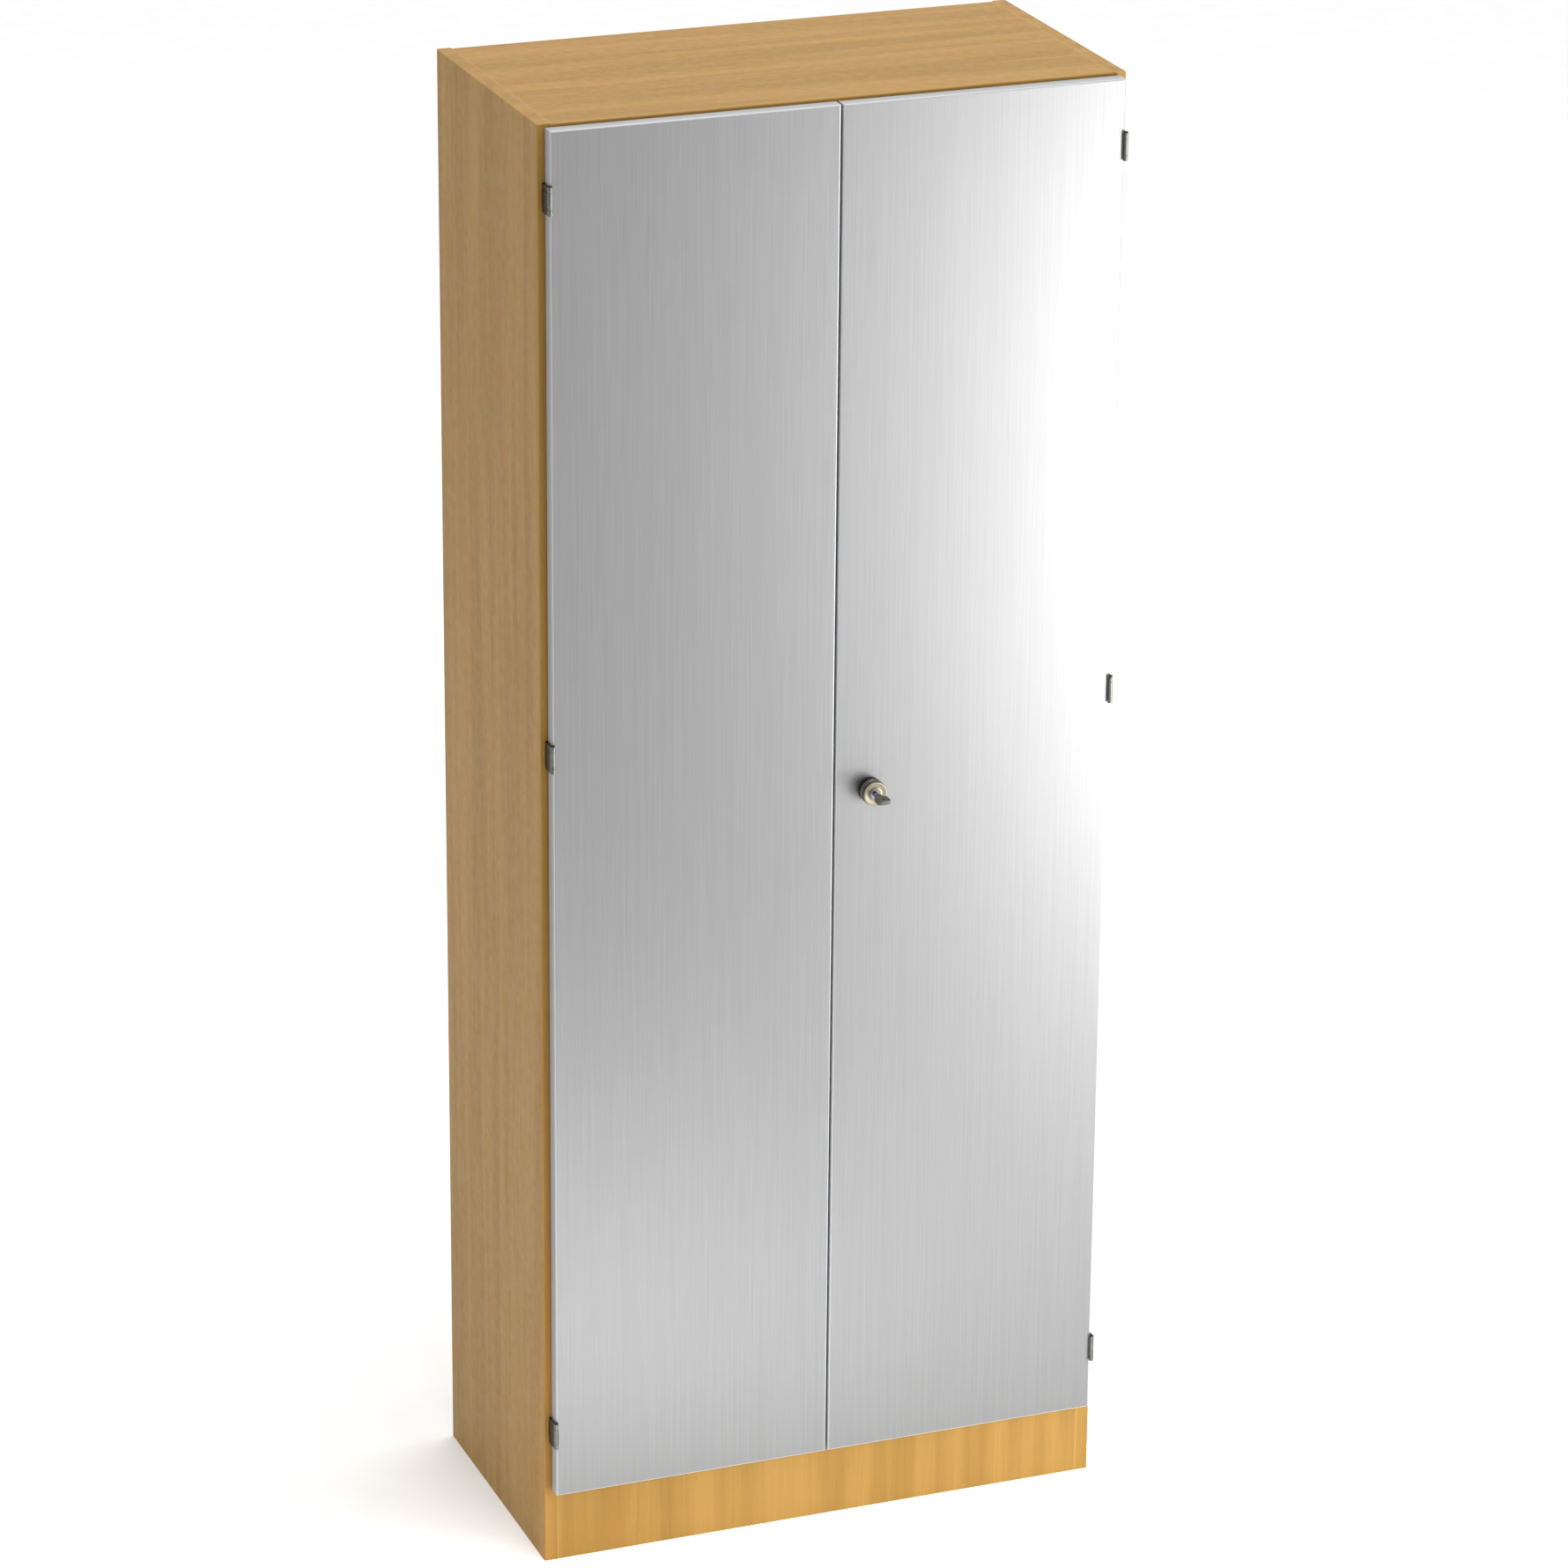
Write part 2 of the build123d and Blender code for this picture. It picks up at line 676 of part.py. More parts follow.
def rod_guide(z):
    """Plastic guide: a foot screwed to the door and a collar round the rod."""
    x = guide_x(z)
    top = door_back + guide_foot
    foot = block(x - 9, x + 9, door_back, top, z - 18, z + 18)
    foot = fillet(foot.edges().filter_by(Axis.Y), 3.0)
    collar = block(x - 7, x + 7, top, mesh_y + 6.5, z - 8, z + 8)
    collar = fillet(collar.edges().filter_by(Axis.Z).group_by(Axis.Y)[-1], 4.0)
    cuts = [bar_z(x, mesh_y, z - 8, z + 8, rod_radius + 0.08)]
    for s in sides:
        cuts.append(bar_y(x, door_back, top, z + s * guide_screw_step, lock_screw_radius + fit))
    return foot + collar - cuts


def guide_screws():
    return [small_screw(guide_x(z), door_back + guide_foot, z + s * guide_screw_step, 14.0)
            for z in guide_levels for s in sides]


def strike_plate(upper):
    """Steel plate that the rod end passes, let on to the top or bottom board."""
    z0 = ceiling - strike_thick if upper else floor_top
    x = rod_x(upper)
    plate = block(x - 20, x + 20, mesh_y - 7, mesh_y + 7, z0, z0 + strike_thick)
    plate = fillet(plate.edges().filter_by(Axis.Z), 3.0)
    cuts = [bar_z(x, mesh_y, z0, z0 + strike_thick, rod_hole_radius)]
    for sx in strike_screw_xs(upper):
        cuts.append(bar_z(sx, mesh_y, z0, z0 + strike_thick, lock_screw_radius + fit))
    return plate - cuts


def strike_screws(upper):
    face = ceiling - strike_thick if upper else floor_top + strike_thick
    out = -1 if upper else 1
    screws = []
    for x in strike_screw_xs(upper):
        head = bar_z(x, mesh_y, face, face + out * 1.2, 2.8)
        cross = block(x - 1.9, x + 1.9, mesh_y - 0.4, mesh_y + 0.4, face + out * 0.6, face + out * 1.2)
        screws.append(head - cross + bar_z(x, mesh_y, face - out * 10.5, face, lock_screw_radius))
    return screws


def bumpers():
    """Rubber dots on the front edges of the top and bottom boards, behind the doors."""
    dots = []
    for z in (floor_top - board / 2, ceiling + 3.5):
        for s in sides:
            dot = bar_y(s * 22.0, front_y - 2.1, front_y, z, 4.0)
            dots.append(fillet(dot.edges().group_by(Axis.Y)[0], 1.0))
    return dots


# ---- knob and key ----
def ring_blank(y0, radius):
    """Solid band of one ring, from its front edge backwards."""
    return bar_y(lock_x, y0, y0 + ring_width, lock_z, radius)


def knob_body():
    """Black grip in three bands with two ring grooves, let on to the spindle."""
    grip = bar_y(lock_x, knob_front + face_thick, knob_back, lock_z, knob_radius)
    grip = fillet(grip.edges().group_by(Axis.Y)[-1], 0.6)
    for y0 in ring_ys:
        grip -= ring_blank(y0, knob_radius + 1) - ring_blank(y0, knob_radius - ring_depth)
    grip -= bar_y(lock_x, knob_front, knob_back - knob_seat, lock_z, housing_radius + press)
    return grip - bar_y(lock_x, knob_back - knob_seat, knob_back, lock_z, spindle_radius + press)


def knob_rings():
    return [ring_blank(y0, knob_radius + 0.15) - ring_blank(y0, knob_radius - ring_depth)
            for y0 in ring_ys]


def knob_face():
    """Dished metal face plate round the lock cylinder."""
    plate = bar_y(lock_x, knob_front, knob_front + face_thick, lock_z, knob_radius - 0.3)
    plate = fillet(plate.edges().group_by(Axis.Y)[0], 1.4)
    dish = bar_y(lock_x, knob_front, knob_front + 0.6, lock_z, knob_radius - 3.2)
    return plate - dish - bar_y(lock_x, knob_front, knob_front + face_thick, lock_z,
                                housing_radius + press)


def cylinder_housing():
    """Fixed sleeve of the lock cylinder; the core turns in it."""
    sleeve = bar_y(lock_x, knob_front - 0.8, knob_back - knob_seat, lock_z, housing_radius)
    sleeve = chamfer(sleeve.edges().group_by(Axis.Y)[0], 0.5)
    bore = bar_y(lock_x, knob_front - 0.8, knob_back - 4.5, lock_z, core_radius + fit)
    return sleeve - bore


def spindle():
    """Shaft from the knob to the arm: round in its bearing, square through the gear, threaded end."""
    round_part = bar_y(lock_x, knob_back - knob_seat, mesh_y - gear_width / 2, lock_z, spindle_radius)
    square_end = arm_back()
    squared = block(lock_x - square / 2, lock_x + square / 2, mesh_y - gear_width / 2, square_end,
                    lock_z - square / 2, lock_z + square / 2)
    return round_part + squared + bar_y(lock_x, square_end, square_end + 5.0, lock_z, stud_radius)


def arm_back():
    return mesh_y + 10.5


def spacer():
    """Sleeve that keeps the pinion and the arm apart on the square."""
    y0 = mesh_y + gear_width / 2
    y1 = arm_back() - arm_thick
    ring = bar_y(lock_x, y0, y1, lock_z, spindle_radius)
    half = square / 2 + fit
    return ring - block(lock_x - half, lock_x + half, y0, y1, lock_z - half, lock_z + half)


def locking_arm():
    """Flat arm that hangs down when open and swings behind the left door when locked."""
    y1 = arm_back()
    y0 = y1 - arm_thick
    tip_z = lock_z - arm_length + arm_half_width
    arm = block(lock_x - arm_half_width, lock_x + arm_half_width, y0, y1, tip_z, lock_z)
    arm += bar_y(lock_x, y0, y1, lock_z, 11.0)
    arm += bar_y(lock_x, y0, y1, tip_z, arm_half_width)
    half = square / 2 + fit
    return arm - block(lock_x - half, lock_x + half, y0, y1, lock_z - half, lock_z + half)


def arm_nut():
    y0 = arm_back()
    nut = extrude(Pos(lock_x, y0, lock_z) * Rot(90, 0, 0) * RegularPolygon(4.6, 6), -4.0)
    return nut - bar_y(lock_x, y0, y0 + 4.0, lock_z, stud_radius + press)


# The key is drawn with its blade upright, then laid level; its bow folds sideways on a pin.
def lay_level(shape):
    """Turn a key piece from upright to level about the lock's axis."""
    return shape.rotate(Axis((lock_x, 0, lock_z), (0, 1, 0)), 90)


def lock_core():
    """Rotor of the cylinder with its key slot."""
    core = bar_y(lock_x, core_face, knob_back - 4.6, lock_z, core_radius)
    core = chamfer(core.edges().group_by(Axis.Y)[0], 0.4)
    half_t = key_thick / 2 + 0.1
    half_h = blade_height / 2 + 0.1
    slot = block(lock_x - half_t, lock_x + half_t, core_face, blade_back + 0.3,
                 lock_z - half_h, lock_z + half_h)
    return core - lay_level(slot)


def key_blade():
    """Flat blade with a few bitting cuts, a shoulder and the eye of the folding joint."""
    half_t = key_thick / 2
    half_h = blade_height / 2
    blade = block(lock_x - half_t, lock_x + half_t, core_face - 0.4, blade_back,
                  lock_z - half_h, lock_z + half_h)
    for i, depth in enumerate(bitting_depths):
        y = core_face + 2.4 + bitting_step * i
        notch = block(lock_x - 2, lock_x + 2, y - 0.6, y + 0.6, lock_z + half_h - depth, lock_z + 5)
        blade -= notch
    shoulder = block(lock_x - half_t, lock_x + half_t, fold_y, core_face - 0.4,
                     lock_z - hub_radius, lock_z + hub_radius)
    eye = bar_x(lock_x - half_t, lock_x + half_t, fold_y, lock_z, hub_radius)
    pin_hole = bar_x(lock_x - 2, lock_x + 2, fold_y, lock_z, key_pin_radius + fit)
    return lay_level(blade + shoulder + eye - pin_hole)


def key_bow():
    """Moulded bow that forks round the blade's eye and is drilled for a key ring."""
    half_t = bow_thick / 2
    fork = bar_x(lock_x - half_t, lock_x + half_t, fold_y, lock_z, hub_radius)
    neck_y = fold_y - hub_radius
    outline = Polyline((neck_y + 3.4, -2.4), (neck_y - 3.0, -bow_width / 2),
                       (bow_tip, -bow_width / 2), (bow_tip, bow_width / 2),
                       (neck_y - 3.0, bow_width / 2), (neck_y + 3.4, 2.4), close=True)
    paddle = extrude(Plane.YZ * make_face(outline), half_t, both=True)
    corners = paddle.edges().filter_by(Axis.X).group_by(Axis.Y)
    paddle = fillet(corners[0], 5.0)
    paddle = Pos(lock_x, 0, lock_z) * paddle
    bow = fork + paddle
    slot_half = key_thick / 2 + 0.35
    bow -= block(lock_x - slot_half, lock_x + slot_half, neck_y - 1.0, fold_y + 10,
                 lock_z - 8, lock_z + 8)
    bow -= bar_x(lock_x - 5, lock_x + 5, fold_y, lock_z, key_pin_radius + press)
    ring_hole = bar_x(lock_x - 5, lock_x + 5, bow_tip + ring_hole_set, lock_z, ring_hole_radius)
    return lay_level(bow - ring_hole)


def key_pin():
    half = bow_thick / 2
    return lay_level(bar_x(lock_x - half, lock_x + half, fold_y, lock_z, key_pin_radius))


# ---- write the nodes: carcass ----
right_side = side_panel()
save("side_panel_right", right_side)
save("side_panel_left", flip(right_side))
save("top_panel", top_panel())
save("bottom_panel", bottom_panel())
save("plinth_board", rail(True))
save("rear_rail", rail(False))
save("back_panel", back_panel())
save("fixed_shelf", fixed_shelf())
for number, row in enumerate(pin_rows, 1):
    save(f"adjustable_shelf_{number}", loose_shelf(row))
save("shelf_pins", shelf_pins())
save("cam_fittings", cam_fittings())
save("cam_bolts", cam_bolts())
save("wood_dowels", wood_dowels())
save("leveler_housings", leveler_housings())
save("access_caps", access_caps())
save("strike_plates", [strike_plate(True), strike_plate(False)])
save("strike_screws", strike_screws(True) + strike_screws(False))
save("door_bumpers", bumpers())

foot_names = {(-1, foot_front): "front_left", (1, foot_front): "front_right",
              (-1, foot_rear): "rear_left", (1, foot_rear): "rear_right"}
for (s, y), place in foot_names.items():
    save(f"leveler_foot_{place}", leveler_foot(s * foot_x, y))

# ---- write the nodes: hinges, one set for each side ----
hinge_sets = {
    "hinge_plates": [fixed_arm(z) for z in hinge_levels],
    "hinge_leaves": [door_leaf(z) for z in hinge_levels],
    "hinge_pins": [hinge_pin(z) for z in hinge_levels],
    "hinge_caps": [hinge_cap(z) for z in hinge_levels],
    "hinge_plate_screws": [side_screw(z) for z in hinge_screw_zs()],
    "hinge_leaf_screws": [leaf_screw(z) for z in hinge_screw_zs()],
}
for name, pieces in hinge_sets.items():
    save(f"{name}_right", pieces)
    save(f"{name}_left", [flip(p) for p in pieces])

# ---- write the nodes: doors and lock ----
save("door_panel_left", left_door())
save("door_panel_right", right_door())
save("keeper_plate", keeper_plate())
save("keeper_screws", keeper_screws())
save("lock_base_plate", lock_base())
save("lock_cover", lock_cover())
save("lock_screws", lock_screws())
save("rod_guides", [rod_guide(z) for z in guide_levels])
save("rod_guide_screws", guide_screws())
save("upper_rod", rod(True))
save("lower_rod", rod(False))
save("pinion", pinion())
save("spindle", spindle())
save("spindle_spacer", spacer())
save("locking_arm", locking_arm())
save("arm_nut", arm_nut())
save("knob_body", knob_body())
save("knob_rings", knob_rings())
save("knob_face", knob_face())
save("cylinder_housing", cylinder_housing())
save("lock_core", lock_core())
save("key_blade", key_blade())
save("key_bow", key_bow())
save("key_pin", key_pin())
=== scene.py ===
import math
import bmesh
import bpy
from mathutils import Matrix, Vector


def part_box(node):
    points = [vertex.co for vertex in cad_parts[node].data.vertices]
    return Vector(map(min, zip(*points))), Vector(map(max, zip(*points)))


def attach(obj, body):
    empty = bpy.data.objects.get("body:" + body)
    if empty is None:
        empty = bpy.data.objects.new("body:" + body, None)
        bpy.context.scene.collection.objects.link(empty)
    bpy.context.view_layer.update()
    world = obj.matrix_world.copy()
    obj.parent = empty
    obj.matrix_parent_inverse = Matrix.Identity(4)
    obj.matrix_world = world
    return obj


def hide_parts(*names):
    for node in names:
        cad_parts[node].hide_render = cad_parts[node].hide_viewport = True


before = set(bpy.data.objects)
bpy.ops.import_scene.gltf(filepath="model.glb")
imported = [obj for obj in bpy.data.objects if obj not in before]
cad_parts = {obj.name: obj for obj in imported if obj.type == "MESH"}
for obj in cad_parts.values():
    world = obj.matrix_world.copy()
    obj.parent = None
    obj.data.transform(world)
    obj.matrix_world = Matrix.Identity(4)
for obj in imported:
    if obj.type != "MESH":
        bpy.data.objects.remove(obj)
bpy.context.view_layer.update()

# Tall office cabinet in wood-decor board with two silver doors, a knob lock and levelling feet.
# Everything is in metres: +X to the right, +Y to the back, +Z up, the floor at Z = 0.

# ---- studio: camera, floor and light ----
# A long lens looks down at the front left corner. The floor is a wide pale sweep under an even
# white room. Soft boxes stand at the right front, because the silver doors mirror what is there.
LENS_MM = 144.88
SENSOR_MM = 36.0
FAR_CLIP = 200.0
CAMERA_PLACE = Vector((-2.8564, -7.3572, 4.0570))
CAMERA_AZIMUTH = math.radians(-21.217)
CAMERA_ELEVATION = math.radians(21.064)
CAMERA_ROLL = math.radians(0.510)
FLOOR_HALF = 30.0


def srgb(code):
    """Linear colour of an sRGB hex code."""
    parts = [int(code[i:i + 2], 16) / 255 for i in (1, 3, 5)]
    return (*[c / 12.92 if c <= 0.04045 else ((c + 0.055) / 1.055) ** 2.4 for c in parts], 1.0)


def add(tree, kind, *inputs, output=0, **settings):
    """Adds one node, its inputs given in order or as one dict; returns one of its outputs."""
    node = tree.nodes.new(kind if "Node" in kind else "ShaderNode" + kind)
    for key, value in settings.items():
        setattr(node, key, value)
    given = inputs[0] if inputs and isinstance(inputs[0], dict) else dict(enumerate(inputs))
    for key, value in given.items():
        if isinstance(value, bpy.types.NodeSocket):
            tree.links.new(value, node.inputs[key])
        elif value is not None:
            node.inputs[key].default_value = value
    return node.outputs[output] if len(node.outputs) else node


def new_material(name, **values):
    """A material with one shader; returns it, its tree, the shader's inputs and coordinates."""
    material = bpy.data.materials.new(name)
    material.use_nodes = True
    tree = material.node_tree
    tree.nodes.clear()
    shader = add(tree, "BsdfPrincipled", {key.replace("_", " "): v for key, v in values.items()})
    add(tree, "OutputMaterial", shader)
    place = add(tree, "TexCoord", output="Object")
    return material, tree, shader.node.inputs, place


def mottling(tree, place, size_mm, detail=3.0, shift=(0.0, 0.0, 0.0)):
    """Soft random variation about 0.5, in patches of size_mm = (x, y, z)."""
    scaled = add(tree, "Mapping", place, shift, None, [1000 / size for size in size_mm])
    return add(tree, "TexNoise", {"Vector": scaled, "Scale": 1.0, "Detail": detail})


camera_data = bpy.data.cameras.new("camera")
camera_data.lens = LENS_MM
camera_data.sensor_width = SENSOR_MM
camera_data.clip_end = FAR_CLIP
camera = bpy.data.objects.new("camera", camera_data)
bpy.context.scene.collection.objects.link(camera)
back = Vector((math.sin(CAMERA_AZIMUTH) * math.cos(CAMERA_ELEVATION),
               -math.cos(CAMERA_AZIMUTH) * math.cos(CAMERA_ELEVATION), math.sin(CAMERA_ELEVATION)))
level = (-back).cross(Vector((0, 0, 1))).normalized()
upright = level.cross(-back)
right = level * math.cos(CAMERA_ROLL) + upright * math.sin(CAMERA_ROLL)
up = upright * math.cos(CAMERA_ROLL) - level * math.sin(CAMERA_ROLL)
camera_turn = Matrix((right, up, back)).transposed().to_4x4()
camera.matrix_world = Matrix.Translation(CAMERA_PLACE) @ camera_turn
bpy.context.scene.camera = camera
bpy.context.scene.view_settings.view_transform = "Standard"


def softbox(name, place, target, size, power, shade="#FFFFFF", grid_degrees=180):
    """A rectangular studio light that the camera doesn't see; a grid narrows its beam."""
    lamp = bpy.data.lights.new(name, "AREA")
    lamp.shape = "RECTANGLE"
    lamp.size, lamp.size_y = size
    lamp.energy = power
    lamp.spread = math.radians(grid_degrees)
    lamp.color = srgb(shade)[:3]
    holder = bpy.data.objects.new(name, lamp)
    holder.location = place
    direction = Vector(target) - Vector(place)
    holder.rotation_euler = direction.to_track_quat("-Z", "Y").to_euler()
    holder.visible_camera = False
    bpy.context.scene.collection.objects.link(holder)


softbox("overhead_box", (0.6, 0.2, 5.2), (0, 0.2, 1.0), (3.0, 2.4), 100)
softbox("right_key_box", (3.6, -3.2, 1.9), (0.2, -0.2, 1.2), (2.0, 2.4), 28, "#FFFDFA")
softbox("low_door_box", (1.92, -1.95, 0.82), (1.42, -0.2, 0.85), (1.3, 1.6), 95)
softbox("floor_box", (-0.2, -1.0, 1.6), (-0.2, -1.0, 0.0), (1.2, 1.0), 12, "#FFFFFF", 60)

world = bpy.data.worlds.new("studio")
world.use_nodes = True
world.node_tree.nodes["Background"].inputs["Color"].default_value = srgb("#FFFFFF")
world.node_tree.nodes["Background"].inputs["Strength"].default_value = 1.0
bpy.context.scene.world = world

# Painted studio floor: an even matt white with a faint mottle of the roller.
floor_paint, tree, shader, place = new_material("matt_white_floor_paint", Roughness=0.9)
mottle = add(tree, "MapRange", mottling(tree, place, (60, 60, 60)), 0.3, 0.7)
tree.links.new(add(tree, "MixRGB", mottle, srgb("#F8F8F8"), srgb("#FBFBFB")), shader["Base Color"])
floor_mesh = bpy.data.meshes.new("studio_floor")
floor_mesh.from_pydata([(-FLOOR_HALF, -FLOOR_HALF, 0), (FLOOR_HALF, -FLOOR_HALF, 0),
                        (FLOOR_HALF, FLOOR_HALF, 0), (-FLOOR_HALF, FLOOR_HALF, 0)],
                       [], [(0, 1, 2, 3)])
floor_mesh.materials.append(floor_paint)
floor = bpy.data.objects.new("studio_floor", floor_mesh)
bpy.context.scene.collection.objects.link(floor)

# ---- carcass boards ----
# Chipboard boards with a printed melamine wood decor, pressed on with a faint pore texture and
# closed with matching edge strips. Cams, bolts and dowels draw them together at the ends.
DECOR_PALE = "#98753A"
DECOR_DEEP = "#8B6A31"
DECOR_RED = "#95652E"
DECOR_FIBRE = "#795A27"
# Colour and width of the painted highlight along each board edge.
EDGE_HIGHLIGHT = "#A88548"
EDGE_HIGHLIGHT_WIDTH = 0.0013
ALONG_X, ALONG_Z = 0, 2


def dress(node, material):
    """Gives a CAD node a new material in every slot of its object."""
    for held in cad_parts[node].material_slots:
        held.link = "OBJECT"
        held.material = material


def depths(tree, place, node):
    """How far a point lies inside its board's box along X, Y and Z, in metres."""
    low, high = [Vector(corner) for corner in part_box(node)]
    centred = add(tree, "VectorMath", place, (low + high) / 2, operation="SUBTRACT")
    folded = add(tree, "VectorMath", centred, operation="ABSOLUTE")
    depth = add(tree, "VectorMath", (high - low) / 2, folded, operation="SUBTRACT")
    return add(tree, "SeparateXYZ", depth).node.outputs


def edge_gap(tree, place, node):
    """Distance in metres from a point on a board's surface to its nearest straight edge."""
    x, y, z = depths(tree, place, node)
    nearer = add(tree, "Math", x, y, operation="MINIMUM")
    farther = add(tree, "Math", x, y, operation="MAXIMUM")
    second = add(tree, "Math", farther, z, operation="MINIMUM")
    return add(tree, "Math", nearer, second, operation="MAXIMUM")


def wood_decor(node, along, number):
    """Melamine decor with its grain along one axis; each board is cut from its own place."""
    material, tree, shader, place = new_material(f"melamine_wood_decor_{node}", IOR=1.5,
                                                 Specular_IOR_Level=0.15)
    shift = (3.7 * number, 1.9 * number, 5.3 * number)

    def figure(across_mm, along_mm, detail, origin=shift, source=None):
        size = [across_mm] * 3
        size[along] = along_mm
        return mottling(tree, source or place, size, detail, origin)

    # Growth rings run out in broad wavering bands. The fibres are drawn 3 mm wide, which is
    # coarser than real ones, so that they show from across a room.
    sway = add(tree, "VectorMath", figure(90, 700, 1.0), (0.03, 0.03, 0.03), operation="MULTIPLY")
    bent = add(tree, "VectorMath", place, sway, operation="ADD")
    bands = add(tree, "MapRange", figure(30, 900, 2.0, source=bent), 0.38, 0.62)
    colour = add(tree, "MixRGB", bands, srgb(DECOR_DEEP), srgb(DECOR_PALE))
    red = figure(55, 2500, 1.0, shift[::-1], bent)
    red = add(tree, "MapRange", red, 0.56, 0.70, 0.0, 0.35)
    colour = add(tree, "MixRGB", red, colour, srgb(DECOR_RED))
    fibre = add(tree, "MapRange", figure(3.0, 160, 4.0, source=bent), 0.50, 0.72, 0.0, 0.3)
    colour = add(tree, "MixRGB", fibre, colour, srgb(DECOR_FIBRE))
    # Pores: dark dashes about 0.8 mm wide and 12 mm long, pressed in as well as printed.
    pores = add(tree, "MapRange", figure(0.8, 12, 1.0), 0.62, 0.74)
    printed = add(tree, "Math", pores, 0.3, operation="MULTIPLY")
    colour = add(tree, "MixRGB", printed, colour, srgb(DECOR_FIBRE))
    # The edge strips are eased round; the paler line along each edge is a painted highlight of
    # that rounding.
    painted_edge_highlight = add(tree, "MapRange", edge_gap(tree, place, node), 0.0, EDGE_HIGHLIGHT_WIDTH, 0.6, 0.0)
    tree.links.new(add(tree, "MixRGB", painted_edge_highlight, colour, srgb(EDGE_HIGHLIGHT)), shader["Base Color"])
    gloss = add(tree, "MapRange", mottling(tree, place, (14, 14, 14), 2.0), 0.3, 0.7, 0.40, 0.52)
    tree.links.new(gloss, shader["Roughness"])
    dent = add(tree, "Bump", {"Strength": 0.25, "Distance": 0.00004, "Height": pores}, invert=True)
    tree.links.new(dent, shader["Normal"])
    return material


board_grain = {
    "side_panel_left": ALONG_Z, "side_panel_right": ALONG_Z, "top_panel": ALONG_X,
    "bottom_panel": ALONG_X, "plinth_board": ALONG_Z, "rear_rail": ALONG_X,
    "back_panel": ALONG_Z, "fixed_shelf": ALONG_X, "adjustable_shelf_1": ALONG_X,
    "adjustable_shelf_2": ALONG_X, "adjustable_shelf_3": ALONG_X,
}
for number, (node, along) in enumerate(board_grain.items(), 1):
    dress(node, wood_decor(node, along, number))

# ---- cams, bolts, dowels and shelf pins ----
# Cast cam discs in the faces of the level boards grip the bolts in the sides; grooved beech
# dowels keep the boards in line. The loose shelves lie on nickel-plated steel pins.


def plated_metal(name, shade, dark, roughness, cloud_mm=18.0):
    """Cast or plated metal: cloudy plating and fine handling scratches."""
    material, tree, shader, place = new_material(name, Metallic=1.0)
    cloud = add(tree, "MapRange", mottling(tree, place, (cloud_mm,) * 3, 4.0), 0.35, 0.65)
    tree.links.new(add(tree, "MixRGB", cloud, srgb(dark), srgb(shade)), shader["Base Color"])
    scratch = mottling(tree, place, (0.4, 6.0, 3.0), 2.0)
    gloss = add(tree, "MapRange", scratch, 0.3, 0.7, roughness - 0.06, roughness + 0.08)
    tree.links.new(gloss, shader["Roughness"])
    dent = add(tree, "Bump", {"Strength": 0.2, "Distance": 0.00003, "Height": scratch})
    tree.links.new(dent, shader["Normal"])
    return material


def moulded_plastic(name, shade, worn, roughness, grit_mm=0.6):
    """Injection-moulded plastic: a fine spark-eroded grain and paler rubbed spots."""
    material, tree, shader, place = new_material(name, IOR=1.5, Specular_IOR_Level=0.25)
    rub = add(tree, "MapRange", mottling(tree, place, (9, 9, 9), 4.0), 0.45, 0.75, 0.0, 0.6)
    tree.links.new(add(tree, "MixRGB", rub, srgb(shade), srgb(worn)), shader["Base Color"])
    grain = mottling(tree, place, (grit_mm,) * 3, 2.0)
    gloss = add(tree, "MapRange", grain, 0.3, 0.7, roughness - 0.05, roughness + 0.1)
    tree.links.new(gloss, shader["Roughness"])
    dent = add(tree, "Bump", {"Strength": 0.3, "Distance": 0.00004, "Height": grain})
    tree.links.new(dent, shader["Normal"])
    return material


# Cast zinc looks grey and cloudy, nickel plate warm and bright, and zinc plate cool and softer.
die_cast_zinc = plated_metal("die_cast_zinc", "#A9AAA8", "#86888A", 0.42, 6.0)
nickel_plated_steel = plated_metal("nickel_plated_steel", "#CBC8C1", "#B3AFA6", 0.24)
zinc_plated_steel = plated_metal("zinc_plated_steel", "#B4B9BD", "#979EA5", 0.33)
dress("cam_fittings", die_cast_zinc)
dress("cam_bolts", zinc_plated_steel)
dress("shelf_pins", nickel_plated_steel)

# Turned beech is pale and matt, with fine strands along the dowel.
beech_dowel, tree, shader, place = new_material("turned_beech_dowel", Roughness=0.7)
strand = add(tree, "MapRange", mottling(tree, place, (20, 0.8, 0.8), 4.0), 0.35, 0.65)
tree.links.new(add(tree, "MixRGB", strand, srgb("#B08D63"), srgb("#CBAE86")), shader["Base Color"])
flute = add(tree, "Bump", {"Strength": 0.4, "Distance": 0.0001, "Height": strand})
tree.links.new(flute, shader["Normal"])
dress("wood_dowels", beech_dowel)

# ---- levelling feet ----
# Black nylon sockets are screwed under the bottom board. A steel screw with a plastic pad runs in
# each; it is turned from inside the cabinet, through a hole that a wood-coloured cap closes.
FOOT_PAD = 0.012
THREAD_PITCH = 0.0015

